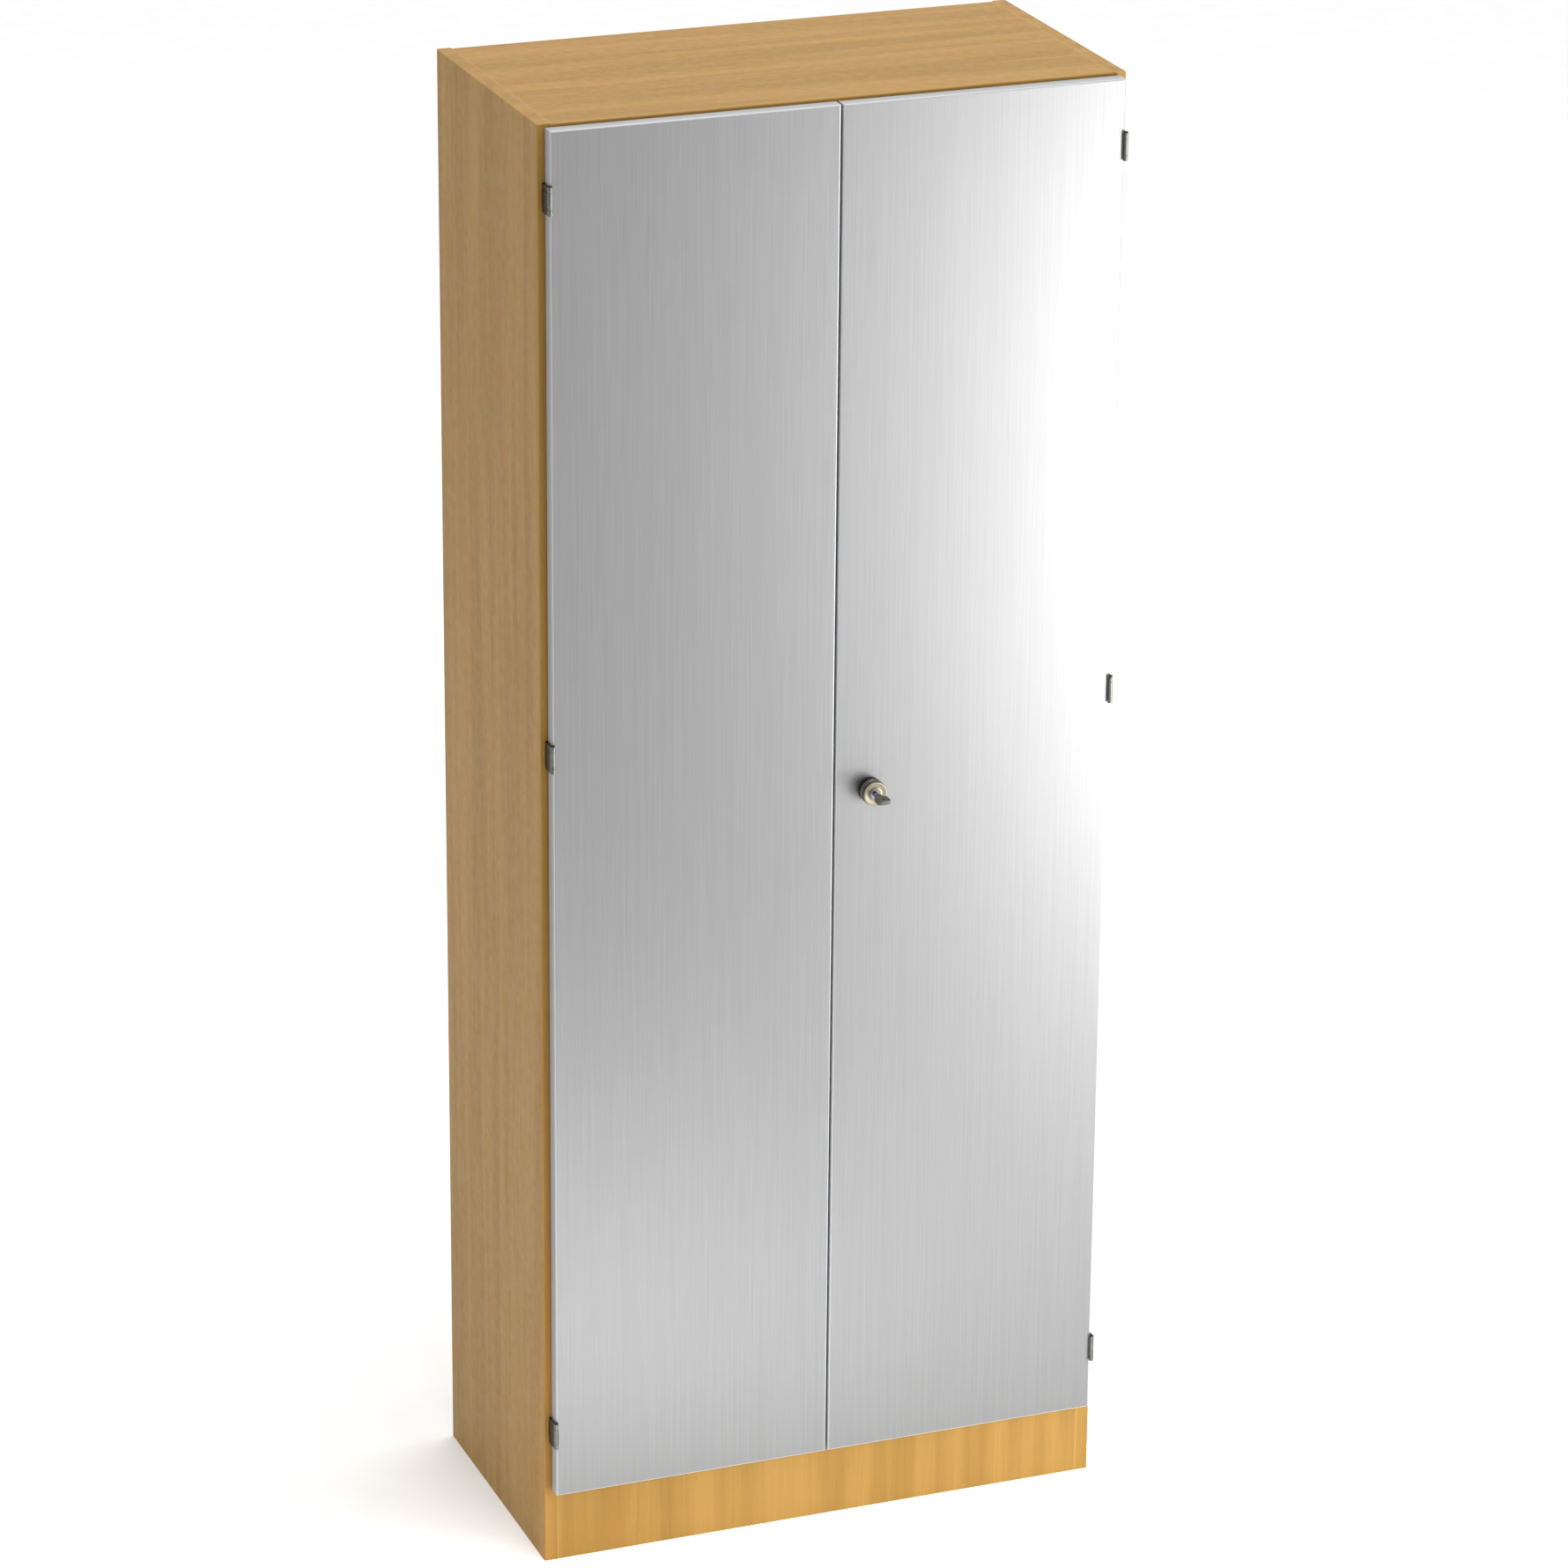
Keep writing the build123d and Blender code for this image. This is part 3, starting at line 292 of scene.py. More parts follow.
# Moulded nylon is nearly black and half matt, with a fine grain that breaks up its highlights.
black_nylon = moulded_plastic("black_nylon_moulded", "#17181A", "#2A2B2D", 0.5)
dress("leveler_housings", black_nylon)
for corner in ("front_left", "front_right", "rear_left", "rear_right"):
    node = f"leveler_foot_{corner}"
    foot_finish, tree, shader, place = new_material(f"steel_screw_on_plastic_pad_{corner}")
    height = add(tree, "SeparateXYZ", place, output="Z")
    pad_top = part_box(node)[0][2] + FOOT_PAD
    steel = add(tree, "Math", height, pad_top, operation="GREATER_THAN")
    colour = add(tree, "MixRGB", steel, srgb("#1B1C1E"), srgb("#A9ADB1"))
    tree.links.new(colour, shader["Base Color"])
    tree.links.new(steel, shader["Metallic"])
    tree.links.new(add(tree, "MapRange", steel, 0.0, 1.0, 0.55, 0.32), shader["Roughness"])
    turns = add(tree, "Math", height, math.tau / THREAD_PITCH, operation="MULTIPLY")
    thread = add(tree, "Math", add(tree, "Math", turns, operation="SINE"), steel,
                 operation="MULTIPLY")
    cut = add(tree, "Bump", {"Strength": 0.6, "Distance": 0.0004, "Height": thread})
    tree.links.new(cut, shader["Normal"])
    dress(node, foot_finish)
# The caps are tinted like the decor, but plain and slightly waxy.
dress("access_caps", moulded_plastic("wood_tone_polyethylene", "#A67A45", "#B58C5B", 0.5))

# ---- doors ----
# Chipboard doors with a silver-metallic decor foil, finely brushed up and down, and pale silver
# edge strips 2 mm thick whose corners are rounded. Clear rubber dots keep them off the boards.
SILVER = "#7D7D7D"
SILVER_DEEP = "#797979"
EDGE_STRIP = "#9D9FA1"


def silver_decor(node):
    """Metallic foil: soft mirror gloss, broken up by upright brush lines."""
    material, tree, shader, place = new_material(f"silver_metallic_decor_{node}")
    # Brush lines are really under 0.5 mm wide; here they are 1.8 mm, so that they show.
    brushed = add(tree, "MapRange", mottling(tree, place, (1.8, 1.8, 200), 3.0), 0.35, 0.65)
    fine = mottling(tree, place, (0.7, 0.7, 60), 2.0)
    colour = add(tree, "MixRGB", brushed, srgb(SILVER_DEEP), srgb(SILVER))
    x, _, z = depths(tree, place, node)
    rim = add(tree, "Math", x, z, operation="MINIMUM")
    strip = add(tree, "MapRange", rim, 0.0014, 0.0021, 1.0, 0.0)
    colour = add(tree, "MixRGB", strip, colour, srgb(EDGE_STRIP))
    tree.links.new(colour, shader["Base Color"])
    tree.links.new(add(tree, "MapRange", strip, 0.0, 1.0, 0.85, 0.2), shader["Metallic"])
    tree.links.new(add(tree, "MapRange", fine, 0.3, 0.7, 0.33, 0.39), shader["Roughness"])
    dent = add(tree, "Bump", {"Strength": 0.06, "Distance": 0.00003, "Height": fine})
    tree.links.new(dent, shader["Normal"])
    return material


for node in ("door_panel_left", "door_panel_right"):
    dress(node, silver_decor(node))
# The dots are soft clear rubber, which looks pale grey on the foil.
dress("door_bumpers", moulded_plastic("clear_rubber_dot", "#A6A9A7", "#BEC0BE", 0.35))

# ---- hinges ----
# Each hinge is two steel strips, stamped out, bent round the board edges and rolled about a pin:
# two end knuckles on the door and a long one between them on the carcass. A black cap tops it.
HINGE_LEVELS = (0.198, 1.168, 1.911)
PIVOT_X, PIVOT_Y = 391.0, -185.5
LEAF_MM = 1.5
PLATE_HALF = 25.0
BARREL_HALF = 18.5
END_KNUCKLE = 7.5
KNUCKLE_GAP = 0.35
BEND = 1.5
ROLL = 2.25
STRAP_X = PIVOT_X + ROLL
CORNER = 6.0
STAMPED_EASE = 0.22
LEAF_START = PIVOT_X - 45.0
LEAF_END = PIVOT_X - 13.0
PLATE_DEEP = 44.0
EDGE_CLEARANCE = 0.75
STRAP_RUN = 8.0
CORNER_STEPS = (0, 0.4, 1, 2, 3, 4.5, 6)
HINGE_SCREW = 16.0

painted_shade_hinge_steel, tree, shader, place = new_material("bronze_lacquered_hinge_steel",
                                                      Specular_IOR_Level=0.1)
# Painted shade and highlight on one plain steel: the flat straps are coloured near black as if in
# shade, and the barrel in front of the pin pale grey as its lit side.
front = add(tree, "SeparateXYZ", place, output="Y")
lit_barrel_mask = add(tree, "MapRange", front, (PIVOT_Y + 2.2) / 1000, (PIVOT_Y + 0.6) / 1000)
haze = add(tree, "MapRange", mottling(tree, place, (5, 5, 12), 4.0), 0.35, 0.65)
painted_shade_colour = add(tree, "MixRGB", haze, srgb("#211A11"), srgb("#2F271B"))
painted_highlight_colour = add(tree, "MixRGB", haze, srgb("#5E5F59"), srgb("#70716B"))
tree.links.new(add(tree, "MixRGB", lit_barrel_mask, painted_shade_colour, painted_highlight_colour), shader["Base Color"])
tree.links.new(add(tree, "MapRange", haze, 0.0, 1.0, 0.30, 0.42), shader["Roughness"])
tree.links.new(add(tree, "MapRange", lit_barrel_mask, 0.0, 1.0, 0.0, 1.0), shader["Metallic"])
drawn = mottling(tree, place, (0.3, 0.3, 8.0), 2.0)
tree.links.new(add(tree, "Bump", {"Strength": 0.2, "Distance": 0.00003, "Height": drawn}),
               shader["Normal"])


def arc(centre, radius, start, end, steps):
    """Points of an arc in the XY plane, in millimetres; angles in degrees."""
    points = []
    for i in range(steps + 1):
        angle = math.radians(start + (end - start) * i / steps)
        points.append((centre[0] + radius * math.cos(angle), centre[1] + radius * math.sin(angle)))
    return points


def link(name, mesh):
    """A new object at the origin, in the scene."""
    piece = bpy.data.objects.new(name, mesh)
    bpy.context.scene.collection.objects.link(piece)
    return piece


def to_mesh(name, form, smooth_degrees=35.0):
    """A mesh from a bmesh in millimetres, faces outwards, smooth but for its sharp edges."""
    bmesh.ops.scale(form, vec=(0.001,) * 3, verts=form.verts)
    bmesh.ops.remove_doubles(form, verts=form.verts, dist=1e-7)
    bmesh.ops.recalc_face_normals(form, faces=form.faces)
    mesh = bpy.data.meshes.new(name)
    form.to_mesh(mesh)
    form.free()
    mesh.shade_smooth()
    mesh.set_sharp_from_angle(angle=math.radians(smooth_degrees))
    return mesh


def finished(name, source):
    """The source's evaluated shape as a plain mesh object at the origin; the source is removed."""
    bpy.context.view_layer.update()
    graph = bpy.context.evaluated_depsgraph_get()
    mesh = bpy.data.meshes.new_from_object(source.evaluated_get(graph))
    mesh.transform(source.matrix_world)
    mesh.name = name
    bpy.data.objects.remove(source)
    return link(name, mesh)


def knuckle_spans():
    """Heights of the lower, middle and upper knuckle about the middle of a barrel."""
    cut = BARREL_HALF - END_KNUCKLE
    gap = KNUCKLE_GAP / 2
    return (-BARREL_HALF, -cut - gap), (-cut + gap, cut - gap), (cut + gap, BARREL_HALF)


def rolled_strip(name, path, plate_end, straps, mirrored):
    """Strip bent along a path: full height up to plate_end, then only its straps."""
    heights = sorted({-PLATE_HALF, PLATE_HALF, *[z for strap in straps for z in strap]})
    form = bmesh.new()
    travelled = 0.0
    columns = []
    for i, (x, y) in enumerate(path):
        travelled += math.dist(path[i - 1], (x, y)) if i else 0.0
        short = max(0.0, CORNER - travelled)
        cut = CORNER - math.sqrt(CORNER ** 2 - short ** 2)
        inset = {-PLATE_HALF: cut, PLATE_HALF: -cut}
        side = -1 if mirrored else 1
        columns.append([form.verts.new((side * x, y, z + inset.get(z, 0.0))) for z in heights])
    for i in range(len(path) - 1):
        for j in range(len(heights) - 1):
            middle = (heights[j] + heights[j + 1]) / 2
            if i < plate_end or any(low < middle < high for low, high in straps):
                form.faces.new((columns[i][j], columns[i + 1][j],
                                columns[i + 1][j + 1], columns[i][j + 1]))
    loose = [v for v in form.verts if not v.link_faces]
    bmesh.ops.delete(form, geom=loose, context="VERTS")
    strip = link(name, to_mesh(name, form, 60))
    wall = strip.modifiers.new("thickness", "SOLIDIFY")
    wall.thickness = LEAF_MM / 1000
    wall.offset = 0.0
    wall.use_even_offset = True
    ease = strip.modifiers.new("eased_edges", "BEVEL")
    ease.width = STAMPED_EASE / 1000
    ease.segments = 2
    ease.limit_method = "ANGLE"
    ease.angle_limit = math.radians(50)
    ease.harden_normals = True
    return finished(name, strip)


def rolled_end():
    """Strap from its last bend forwards, and once round the pin."""
    return [(STRAP_X, PIVOT_Y + STRAP_RUN)] + arc((PIVOT_X, PIVOT_Y), ROLL, 0, -285, 30)


def door_half_path():
    """Flat on the door's back, round its edge and about the pin; and where the straps begin."""
    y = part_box("door_panel_right")[1][1] * 1000 + LEAF_MM / 2
    plate = [(LEAF_START + s, y) for s in CORNER_STEPS] + [(LEAF_END, y)]
    bend = arc((STRAP_X - BEND, y - BEND), BEND, 90, 0, 6)
    return plate + bend + rolled_end(), len(plate) - 1


def carcass_half_path():
    """Flat on the side board, round its front edge and about the pin; and where straps begin."""
    front_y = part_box("side_panel_right")[0][1] * 1000
    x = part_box("side_panel_right")[0][0] * 1000 - LEAF_MM / 2
    y = front_y - LEAF_MM / 2
    plate = [(x, front_y + PLATE_DEEP - s) for s in CORNER_STEPS]
    plate.append((x, front_y + EDGE_CLEARANCE))
    first = arc((x + BEND, y + BEND), BEND, 180, 270, 6)
    second = arc((STRAP_X - BEND, y - BEND), BEND, 90, 0, 6)
    return plate + first + second + rolled_end(), len(plate) - 1


def repeat_tree():
    """Places a piece on each point, heading one way and turned at random about that heading."""
    group = bpy.data.node_groups.new("pieces_on_points", "GeometryNodeTree")
    for label, kind in (("Points", "Geometry"), ("Piece", "Object"), ("Finish", "Material"),
                        ("Heading", "Vector"), ("Turn", "Float"), ("Seed", "Int")):
        group.interface.new_socket(label, in_out="INPUT", socket_type="NodeSocket" + kind)
    group.interface.new_socket("Mesh", in_out="OUTPUT", socket_type="NodeSocketGeometry")
    given = add(group, "NodeGroupInput").node.outputs
    shape = add(group, "GeometryNodeObjectInfo", given["Piece"], output="Geometry")
    aimed = add(group, "FunctionNodeAlignRotationToVector", {"Vector": given["Heading"]}, axis="Z")
    angle = add(group, "FunctionNodeRandomValue",
                {2: 0.0, 3: given["Turn"], 8: given["Seed"]}, output=1)
    spin = add(group, "FunctionNodeAxisAngleToRotation", {"Angle": angle})
    turned_about = add(group, "FunctionNodeRotateRotation", aimed, spin, rotation_space="LOCAL")
    placed = add(group, "GeometryNodeInstanceOnPoints",
                 {"Points": given["Points"], "Instance": shape, "Rotation": turned_about})
    real = add(group, "GeometryNodeRealizeInstances", placed)
    done = add(group, "GeometryNodeSetMaterial", {"Geometry": real, "Material": given["Finish"]})
    add(group, "NodeGroupOutput", done)
    return group


pieces_on_points = repeat_tree()


def repeat(name, piece, points, heading, finish, turn=0.0, seed=1):
    """One plain mesh of the piece on every point (metres); the piece itself is kept."""
    mesh = bpy.data.meshes.new(name)
    mesh.from_pydata(points, [], [])
    carrier = link(name + "_points", mesh)
    modifier = carrier.modifiers.new("repeat", "NODES")
    modifier.node_group = pieces_on_points
    values = {"Piece": piece, "Finish": finish, "Heading": heading, "Turn": turn, "Seed": seed}
    for socket in pieces_on_points.interface.items_tree:
        if socket.in_out == "INPUT" and socket.name in values:
            modifier[socket.identifier] = values[socket.name]
    return finished(name, carrier)


def settle(piece, body, slot, *nodes):
    """The piece rides on its body and stands for its CAD nodes; the slot argument is not used."""
    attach(piece, body)
    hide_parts(*nodes)


lower, middle, upper = knuckle_spans()
hinge_points = [(0.0, 0.0, z) for z in HINGE_LEVELS]
for side, mirrored, door in (("left", True, "left_door"), ("right", False, "right_door")):
    halves = (("hinge_leaves", door_half_path(), (lower, upper), door),
              ("hinge_plates", carcass_half_path(), (middle,), "carcass"))
    for kind, (path, plate_end), straps, body in halves:
        strip = rolled_strip(f"{kind}_strip", path, plate_end, straps, mirrored)
        hinge = repeat(f"rolled_{kind}_{side}", strip, hinge_points, (0, 0, 1), painted_shade_hinge_steel)
        bpy.data.objects.remove(strip)
        settle(hinge, body, "silver_painted_steel", f"{kind}_{side}")
    dress(f"hinge_pins_{side}", nickel_plated_steel)

# ---- hinge caps ----
# Small caps with a domed top, moulded from black nylon. Each is pressed on the upper end of a
# hinge pin and covers its bare steel.


def turned(name, outline, steps, closed=False):
    """Object turned about Z from (radius, height) millimetres, from axis to axis or closed."""
    form = bmesh.new()
    rings = []
    for i in range(steps):
        x, y = math.cos(math.tau * i / steps), math.sin(math.tau * i / steps)
        rings.append([form.verts.new((r * x, r * y, h)) for r, h in outline])
    count = len(outline)
    for i, ring in enumerate(rings):
        after = rings[(i + 1) % steps]
        for j in range(count if closed else count - 1):
            k = (j + 1) % count
            form.faces.new((ring[j], after[j], after[k], ring[k]))
    return link(name, to_mesh(name, form))


cap_outline = [(0.0, 0.0), (2.5, 0.0), (2.7, 0.2), (2.7, 0.7), (2.5, 1.1), (2.0, 1.4),
               (1.2, 1.55), (0.0, 1.6)]
cap = turned("cap_blank", cap_outline, 32)
cap_low = BARREL_HALF / 1000 + KNUCKLE_GAP / 1000
for side, sign in (("left", -1), ("right", 1)):
    spots = [(sign * PIVOT_X / 1000, PIVOT_Y / 1000, z + cap_low) for z in HINGE_LEVELS]
    caps = repeat(f"domed_hinge_caps_{side}", cap, spots, (0, 0, 1), black_nylon)
    settle(caps, "carcass", "black_plastic", f"hinge_caps_{side}")
bpy.data.objects.remove(cap)

# ---- screws ----
# Zinc-plated cross-head screws hold the hinges, lock, rod guides, keeper and strike plates. Each
# has a low domed head with a tapered cross recess and a plain shank that ends in a point.
RECESS_DEEP = 0.7
RECESS_TAPER = 0.62
RECESS_SPAN, RECESS_BLADE = 0.62, 0.13


def cross_recess(width, blade, depth, top):
    """Tapered cross-shaped cutter, in millimetres, from top down to depth."""
    form = bmesh.new()
    for half_x, half_y in ((width, blade), (blade, width)):
        corners = []
        for shrink, z in ((RECESS_TAPER, top - depth), (1.0, top + 0.5)):
            for sx, sy in ((-1, -1), (1, -1), (1, 1), (-1, 1)):
                corners.append(form.verts.new((sx * half_x * shrink, sy * half_y * shrink, z)))
        for face in ((3, 2, 1, 0), (4, 5, 6, 7), (0, 1, 5, 4), (1, 2, 6, 5), (2, 3, 7, 6),
                     (3, 0, 4, 7)):
            form.faces.new([corners[i] for i in face])
    return link("cross_recess", to_mesh("cross_recess", form))


def carve(piece, cutter):
    """The piece less the cutter; both sources go."""
    cut = piece.modifiers.new("cut", "BOOLEAN")
    cut.operation = "DIFFERENCE"
    cut.solver = "EXACT"
    cut.use_self = True
    cut.object = cutter
    name = piece.name
    carved = finished(name + "_carved", piece)
    bpy.data.objects.remove(cutter)
    return carved


def screw_blank(head_radius, head_height, shank_radius, shank_length):
    """Screw with its head's underside at Z = 0, pointing down."""
    outline = [(0.0, -shank_length), (shank_radius * 0.85, -shank_length + 2.5),
               (shank_radius, -shank_length + 4.0), (shank_radius, 0.0), (head_radius, 0.0),
               (head_radius, head_height * 0.35), (head_radius * 0.86, head_height * 0.78),
               (head_radius * 0.5, head_height), (0.0, head_height)]
    blank = turned("screw_blank", outline, 24)
    return carve(blank, cross_recess(head_radius * RECESS_SPAN, head_radius * RECESS_BLADE,
                                     RECESS_DEEP, head_height))


inner_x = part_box("side_panel_right")[0][0]
carcass_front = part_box("side_panel_right")[0][1]
door_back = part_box("door_panel_right")[1][1]
lock_case_low, lock_case_high = [Vector(corner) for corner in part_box("lock_base_plate")]
lock_x, _, lock_z = (lock_case_low + lock_case_high) / 2
(_, _, floor_top), (_, _, ceiling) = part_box("strike_plates")
leaf = LEAF_MM / 1000
hinge_screw_zs = [z + s * HINGE_SCREW / 1000 for z in HINGE_LEVELS for s in (-1, 1)]
rod_y = (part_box("upper_rod")[0][1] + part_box("upper_rod")[1][1]) / 2
UPPER_ROD_X, LOWER_ROD_X = 0.0354375, 0.0645625
GUIDE_PLACES = ((0.167, LOWER_ROD_X), (0.960, LOWER_ROD_X),
                (1.160, UPPER_ROD_X), (1.940, UPPER_ROD_X))
STRIKE_THICK = 0.0015
PLATE_SCREW_BACK = 0.032
LEAF_SCREW_IN = 0.033
CASE_SCREW_X, CASE_SCREW_Z = 0.019, 0.038
GUIDE_FOOT, GUIDE_SCREW = 0.003, 0.013
KEEPER_X, KEEPER_SCREW = -0.040, 0.010
STRIKE_SCREW = 0.014
ANY_TURN = 1.5

hinge_screw = screw_blank(4.0, 1.6, 2.0, 13.0)
small_screw = screw_blank(3.0, 1.4, 1.5, 11.5)
strike_screw = screw_blank(2.8, 1.2, 1.5, 10.0)
for side, sign in (("left", -1), ("right", 1)):
    spots = [(sign * (inner_x - leaf), carcass_front + PLATE_SCREW_BACK, z)
             for z in hinge_screw_zs]
    screws = repeat(f"cross_head_plate_screws_{side}", hinge_screw, spots, (-sign, 0, 0),
                    zinc_plated_steel, ANY_TURN, 11 + sign)
    settle(screws, "carcass", "zinc_plated_steel", f"hinge_plate_screws_{side}")
    spots = [(sign * (PIVOT_X / 1000 - LEAF_SCREW_IN), door_back + leaf, z)
             for z in hinge_screw_zs]
    screws = repeat(f"cross_head_leaf_screws_{side}", hinge_screw, spots, (0, 1, 0),
                    zinc_plated_steel, ANY_TURN, 21 + sign)
    settle(screws, f"{side}_door", "zinc_plated_steel", f"hinge_leaf_screws_{side}")

case_spots = [(lock_x + sx * CASE_SCREW_X, door_back + leaf, lock_z + sz * CASE_SCREW_Z)
              for sx in (-1, 1) for sz in (-1, 1)]
guide_spots = [(x, door_back + GUIDE_FOOT, z + s * GUIDE_SCREW)
               for z, x in GUIDE_PLACES for s in (-1, 1)]
keeper_spots = [(KEEPER_X, door_back + leaf, lock_z + s * KEEPER_SCREW) for s in (-1, 1)]
for name, node, body, spots, seed in (
        ("cross_head_lock_screws", "lock_screws", "right_door", case_spots, 31),
        ("cross_head_guide_screws", "rod_guide_screws", "right_door", guide_spots, 32),
        ("cross_head_keeper_screws", "keeper_screws", "left_door", keeper_spots, 33)):
    screws = repeat(name, small_screw, spots, (0, 1, 0), zinc_plated_steel, ANY_TURN, seed)
    settle(screws, body, "zinc_plated_steel", node)

strike_halves = []
for x, z, way in ((UPPER_ROD_X, ceiling - STRIKE_THICK, -1),
                  (LOWER_ROD_X, floor_top + STRIKE_THICK, 1)):
    spots = [(x + s * STRIKE_SCREW, rod_y, z) for s in (-1, 1)]
    strike_halves.append(repeat(f"strike_screws_{way}", strike_screw, spots, (0, 0, way),
                                zinc_plated_steel, ANY_TURN, 40 + way))
form = bmesh.new()
for half in strike_halves:
    form.from_mesh(half.data)
    bpy.data.objects.remove(half)
strike_mesh = bpy.data.meshes.new("cross_head_strike_screws")
form.to_mesh(strike_mesh)
form.free()
strike_mesh.materials.append(zinc_plated_steel)
strikes = link("cross_head_strike_screws", strike_mesh)
settle(strikes, "carcass", "zinc_plated_steel", "strike_screws")
for blank in (hinge_screw, small_screw, strike_screw):
    bpy.data.objects.remove(blank)

# ---- rod lock on the right door ----
# A pressed steel case on the door's back holds the pinion; two drawn steel rods with racks run
# from it through nylon guides to the strike plates. A flat arm hooks behind the left door.
# Pressed parts have broad cloudy zinc on them; the drawn rods are smoother and brighter.
pressed_steel = plated_metal("zinc_plated_pressed_steel", "#B0B5B9", "#9299A0", 0.36, 25.0)
drawn_steel = plated_metal("drawn_steel_rod", "#B9BBBC", "#A2A5A7", 0.26, 40.0)
for node in ("lock_base_plate", "lock_cover", "keeper_plate", "strike_plates", "locking_arm"):
    dress(node, pressed_steel)
for node in ("upper_rod", "lower_rod", "spindle", "pinion", "arm_nut"):
    dress(node, drawn_steel)
for node in ("rod_guides", "spindle_spacer"):
    dress(node, black_nylon)

# ---- knob ----
# A black moulded grip in three bands, parted by two bright rings, with a satin champagne face
# plate turned in the lathe. The lock cylinder sits in the middle of it.
KNOB_RADIUS = 17.0
GROOVE_RADIUS = 16.1
HOUSING_RADIUS = 9.0
CORE_RADIUS = 6.5
SPINDLE_RADIUS = 5.0
SLIDING_FIT = 0.02
CORE_CLEARANCE = 0.05
SLEEVE_FLOOR = 0.5
FACE_DEEP = 2.5
SOCKET_DEEP = 4.0
RING_STARTS = (5.5, 10.3)
RING_WIDTH = 1.6
knob_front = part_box("knob_face")[0][1]
knob_deep = (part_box("knob_body")[1][1] - knob_front) * 1000
knob_floor = knob_deep - SOCKET_DEEP
lock_axis_place = Matrix.Translation((lock_x, knob_front, lock_z))
on_lock_axis = lock_axis_place @ Matrix.Rotation(-math.pi / 2, 4, "X")


def on_lock(piece, finish, body, slot, node):
    """Puts a turned piece on the lock's axis, with Z = 0 at the knob's front face."""
    piece.data.transform(on_lock_axis)
    piece.data.materials.append(finish)
    settle(piece, body, slot, node)


def lathe_marks(name, shade, dark, roughness, ring_mm):
    """Metal faced in a lathe: fine rings about the lock's axis."""
    material, tree, shader, place = new_material(name, Metallic=1.0)
    centred = add(tree, "VectorMath", place, (lock_x, 0, lock_z), operation="SUBTRACT")
    flat = add(tree, "VectorMath", centred, (1, 0, 1), operation="MULTIPLY")
    radius = add(tree, "VectorMath", flat, operation="LENGTH", output="Value")
    along = add(tree, "SeparateXYZ", place, output="Y")
    rings = add(tree, "CombineXYZ", radius, along, 0.0)
    marks = mottling(tree, rings, (ring_mm, ring_mm, ring_mm), 3.0)
    tone = add(tree, "MapRange", marks, 0.35, 0.65)
    tree.links.new(add(tree, "MixRGB", tone, srgb(dark), srgb(shade)), shader["Base Color"])
    gloss = add(tree, "MapRange", marks, 0.3, 0.7, roughness - 0.05, roughness + 0.07)
    tree.links.new(gloss, shader["Roughness"])
    tree.links.new(add(tree, "Bump", {"Strength": 0.3, "Distance": 0.00004, "Height": marks}),
                   shader["Normal"])
    return material


# The grip is moulded ABS, black with a soft shine. The rings are polished and plated in a warm
# chrome. Face and sleeve are cast zinc, faced in a lathe and plated satin, with fine turned rings.
black_abs = moulded_plastic("black_abs_grip", "#060506", "#0E0D0E", 0.34)
bright_chrome = plated_metal("champagne_chrome_ring", "#AAA298", "#958D83", 0.20)
champagne = lathe_marks("champagne_satin_zinc", "#878170", "#757062", 0.48, 0.35)
sleeve_finish = lathe_marks("champagne_sleeve_zinc", "#827C66", "#6E6852", 0.34, 0.35)

# Outlines run as (radius, depth behind the face) in millimetres.
bore = HOUSING_RADIUS + SLIDING_FIT
spindle_hole = SPINDLE_RADIUS + SLIDING_FIT
grip_outline = [(bore, FACE_DEEP), (16.4, FACE_DEEP), (16.8, 2.65), (KNOB_RADIUS, 3.1)]
for ring_start in RING_STARTS:
    ring_end = ring_start + RING_WIDTH
    grip_outline += [(KNOB_RADIUS, ring_start - 0.5), (16.85, ring_start - 0.12),
                     (16.5, ring_start), (GROOVE_RADIUS, ring_start), (GROOVE_RADIUS, ring_end),
                     (16.5, ring_end), (16.85, ring_end + 0.12), (KNOB_RADIUS, ring_end + 0.5)]
grip_outline += [(KNOB_RADIUS, knob_deep - 0.6), (16.8, knob_deep - 0.15), (16.4, knob_deep),
                 (spindle_hole, knob_deep), (spindle_hole, knob_floor), (bore, knob_floor)]
on_lock(turned("banded_knob_grip", grip_outline, 128, True), black_abs,
        "knob", "black_plastic", "knob_body")

form = bmesh.new()
for ring_start in RING_STARTS:
    ring_end = ring_start + RING_WIDTH
    crown = [(GROOVE_RADIUS, ring_start), (16.7, ring_start)]
    crown += [(16.65 + 0.5 * math.sin(a), ring_start + RING_WIDTH / 2 - 0.75 * math.cos(a))
              for a in [math.pi * i / 8 for i in range(1, 8)]]
    crown += [(16.7, ring_end), (GROOVE_RADIUS, ring_end)]
    ring = turned("ring_blank", crown, 128, True)
    form.from_mesh(ring.data)
    bpy.data.objects.remove(ring)
rings_mesh = bpy.data.meshes.new("bright_knob_rings")
form.to_mesh(rings_mesh)
form.free()
on_lock(link("bright_knob_rings", rings_mesh), bright_chrome,
        "knob", "bright_chrome", "knob_rings")

face_outline = [(bore, FACE_DEEP), (bore, 0.6), (13.5, 0.6), (13.75, 0.5), (13.85, 0.2),
                (14.05, 0.03), (14.3, 0.0), (15.2, 0.0), (15.8, 0.12), (16.3, 0.45),
                (16.6, 0.95), (16.7, 1.5), (16.7, FACE_DEEP)]
on_lock(turned("turned_knob_face", face_outline, 128, True), champagne,
        "knob", "champagne_metal", "knob_face")

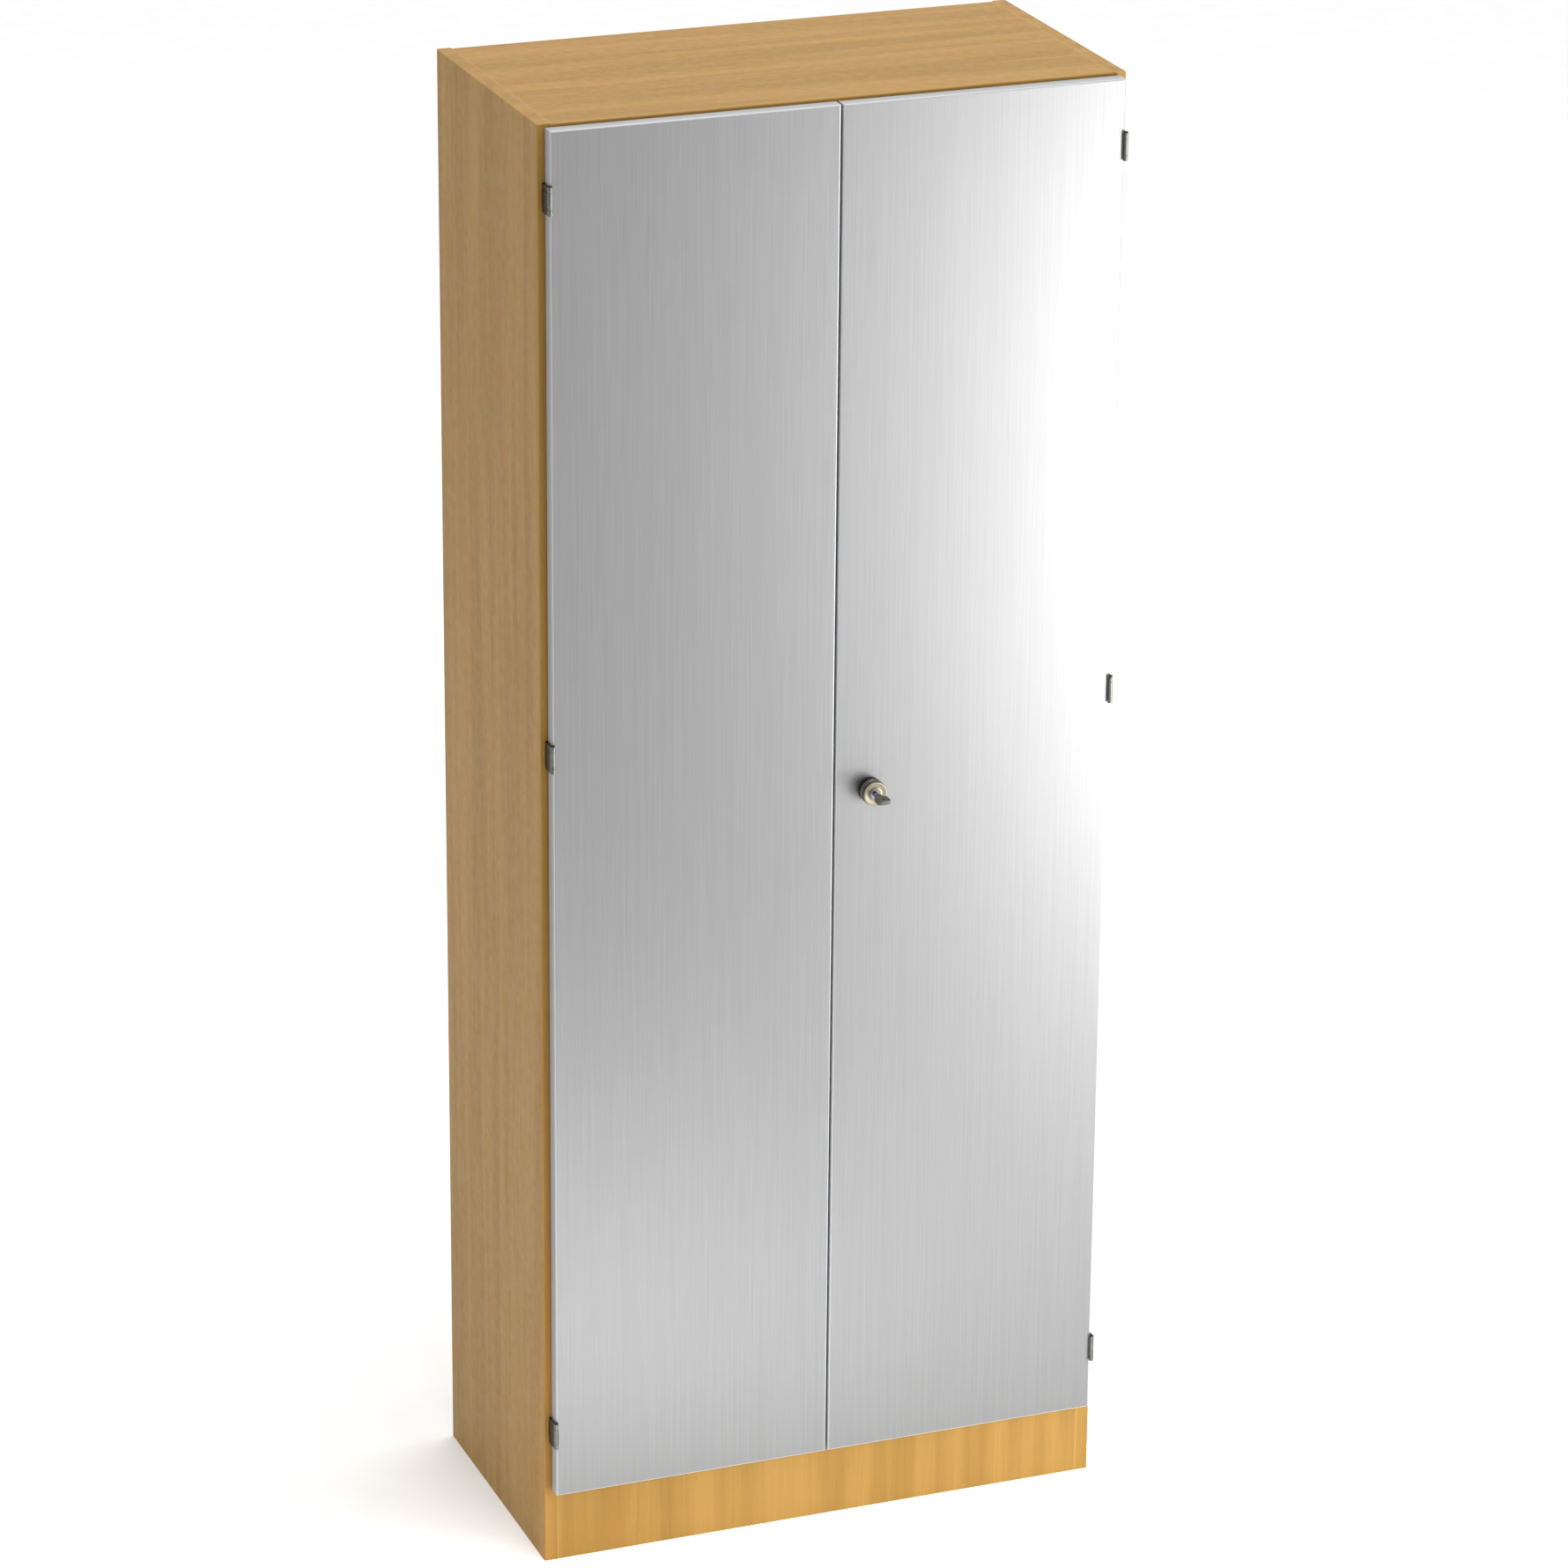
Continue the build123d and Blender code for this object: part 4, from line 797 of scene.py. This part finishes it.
core_hole = CORE_RADIUS + CORE_CLEARANCE
sleeve_outline = [(core_hole, -0.45), (CORE_RADIUS + 0.3, -0.8), (8.5, -0.8), (8.85, -0.65),
                  (HOUSING_RADIUS, -0.3), (HOUSING_RADIUS, knob_floor), (0.0, knob_floor),
                  (0.0, knob_floor - SLEEVE_FLOOR), (core_hole, knob_floor - SLEEVE_FLOOR)]
on_lock(turned("cylinder_sleeve", sleeve_outline, 96, True), sleeve_finish,
        "knob", "champagne_metal", "cylinder_housing")

# ---- cylinder rotor and key ----
# A nickel-plated brass rotor with a keyway takes a milled steel key. Its moulded grip folds
# sideways on a pin through the eye of the blade, and has a hole for a key ring.
# The rotor's plating has a cold violet cast beside the warm face; the milled blade is neutral.
nickel_brass = lathe_marks("nickel_plated_rotor", "#A5A2BE", "#8884A2", 0.16, 0.5)
dress("lock_core", nickel_brass)
milled_key = plated_metal("milled_nickel_key", "#B9B8B4", "#A09E98", 0.22, 6.0)
dress("key_blade", milled_key)
dress("key_pin", milled_key)

# The grip is glass-filled nylon: dark olive, with paler rubbed spots.
olive_grip = moulded_plastic("olive_glass_filled_nylon", "#4F5147", "#62645A", 0.34)
FOLD_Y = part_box("key_pin")[0][1] * 1000 / 2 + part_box("key_pin")[1][1] * 1000 / 2
BOW_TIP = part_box("key_bow")[0][1] * 1000
BOW_HALF = 9.0
HUB_RADIUS = 4.2
TIP_RADIUS = 5.0
BOW_THICK = 5.6
BOW_EASE = 0.6
RING_HOLE_IN, RING_HOLE_RADIUS = 8.0, 2.8
FORK_WIDE, FORK_LONG, FORK_SLOT, FORK_LEAD = 24.0, 14.0, 2.7, 1.0
neck_y = FOLD_Y - HUB_RADIUS
outline = arc((0, FOLD_Y), HUB_RADIUS, -40, 220, 24)
outline += [(-BOW_HALF + BOW_EASE, neck_y - 2.4), (-BOW_HALF, neck_y - 3.2)]
outline += arc((-BOW_HALF + TIP_RADIUS, BOW_TIP + TIP_RADIUS), TIP_RADIUS, 180, 270, 10)
outline += arc((BOW_HALF - TIP_RADIUS, BOW_TIP + TIP_RADIUS), TIP_RADIUS, 270, 360, 10)
outline += [(BOW_HALF, neck_y - 3.2), (BOW_HALF - BOW_EASE, neck_y - 2.4)]
hole = arc((0, BOW_TIP + RING_HOLE_IN), RING_HOLE_RADIUS, 0, 350, 35)
bow_curve = bpy.data.curves.new("folding_key_grip", "CURVE")
bow_curve.dimensions = "2D"
bow_curve.fill_mode = "BOTH"
bow_curve.bevel_depth = BOW_EASE / 1000
bow_curve.bevel_resolution = 3
bow_curve.offset = -BOW_EASE / 1000
bow_curve.extrude = (BOW_THICK / 2 - BOW_EASE) / 1000
for loop in (outline, hole):
    line = bow_curve.splines.new("POLY")
    line.points.add(len(loop) - 1)
    for point, (x, y) in zip(line.points, loop):
        point.co = (x / 1000, y / 1000, 0, 1)
    line.use_cyclic_u = True
bow_solid = finished("key_grip_blank", link("key_grip_curve", bow_curve))
bow_form = bmesh.new()
bow_form.from_mesh(bow_solid.data)
bmesh.ops.scale(bow_form, vec=(1000,) * 3, verts=bow_form.verts)
bpy.data.objects.remove(bow_solid)
bow_solid = link("key_grip_blank", to_mesh("key_grip_blank", bow_form))
cutter_form = bmesh.new()
bmesh.ops.create_cube(cutter_form, size=1.0)
fork_size = (FORK_WIDE, FORK_LONG, FORK_SLOT)
bmesh.ops.scale(cutter_form, vec=fork_size, verts=cutter_form.verts)
fork_middle = neck_y - FORK_LEAD + FORK_LONG / 2
bmesh.ops.translate(cutter_form, vec=(0, fork_middle, 0), verts=cutter_form.verts)
fork_cutter = link("fork_cutter", to_mesh("fork_cutter", cutter_form))
key_grip = carve(bow_solid, fork_cutter)
key_grip.name = "folding_key_grip"
key_grip.data.transform(Matrix.Translation((lock_x, 0, lock_z)))
key_grip.data.materials.clear()
key_grip.data.materials.append(olive_grip)
settle(key_grip, "key_grip", "key_grip_plastic", "key_bow")
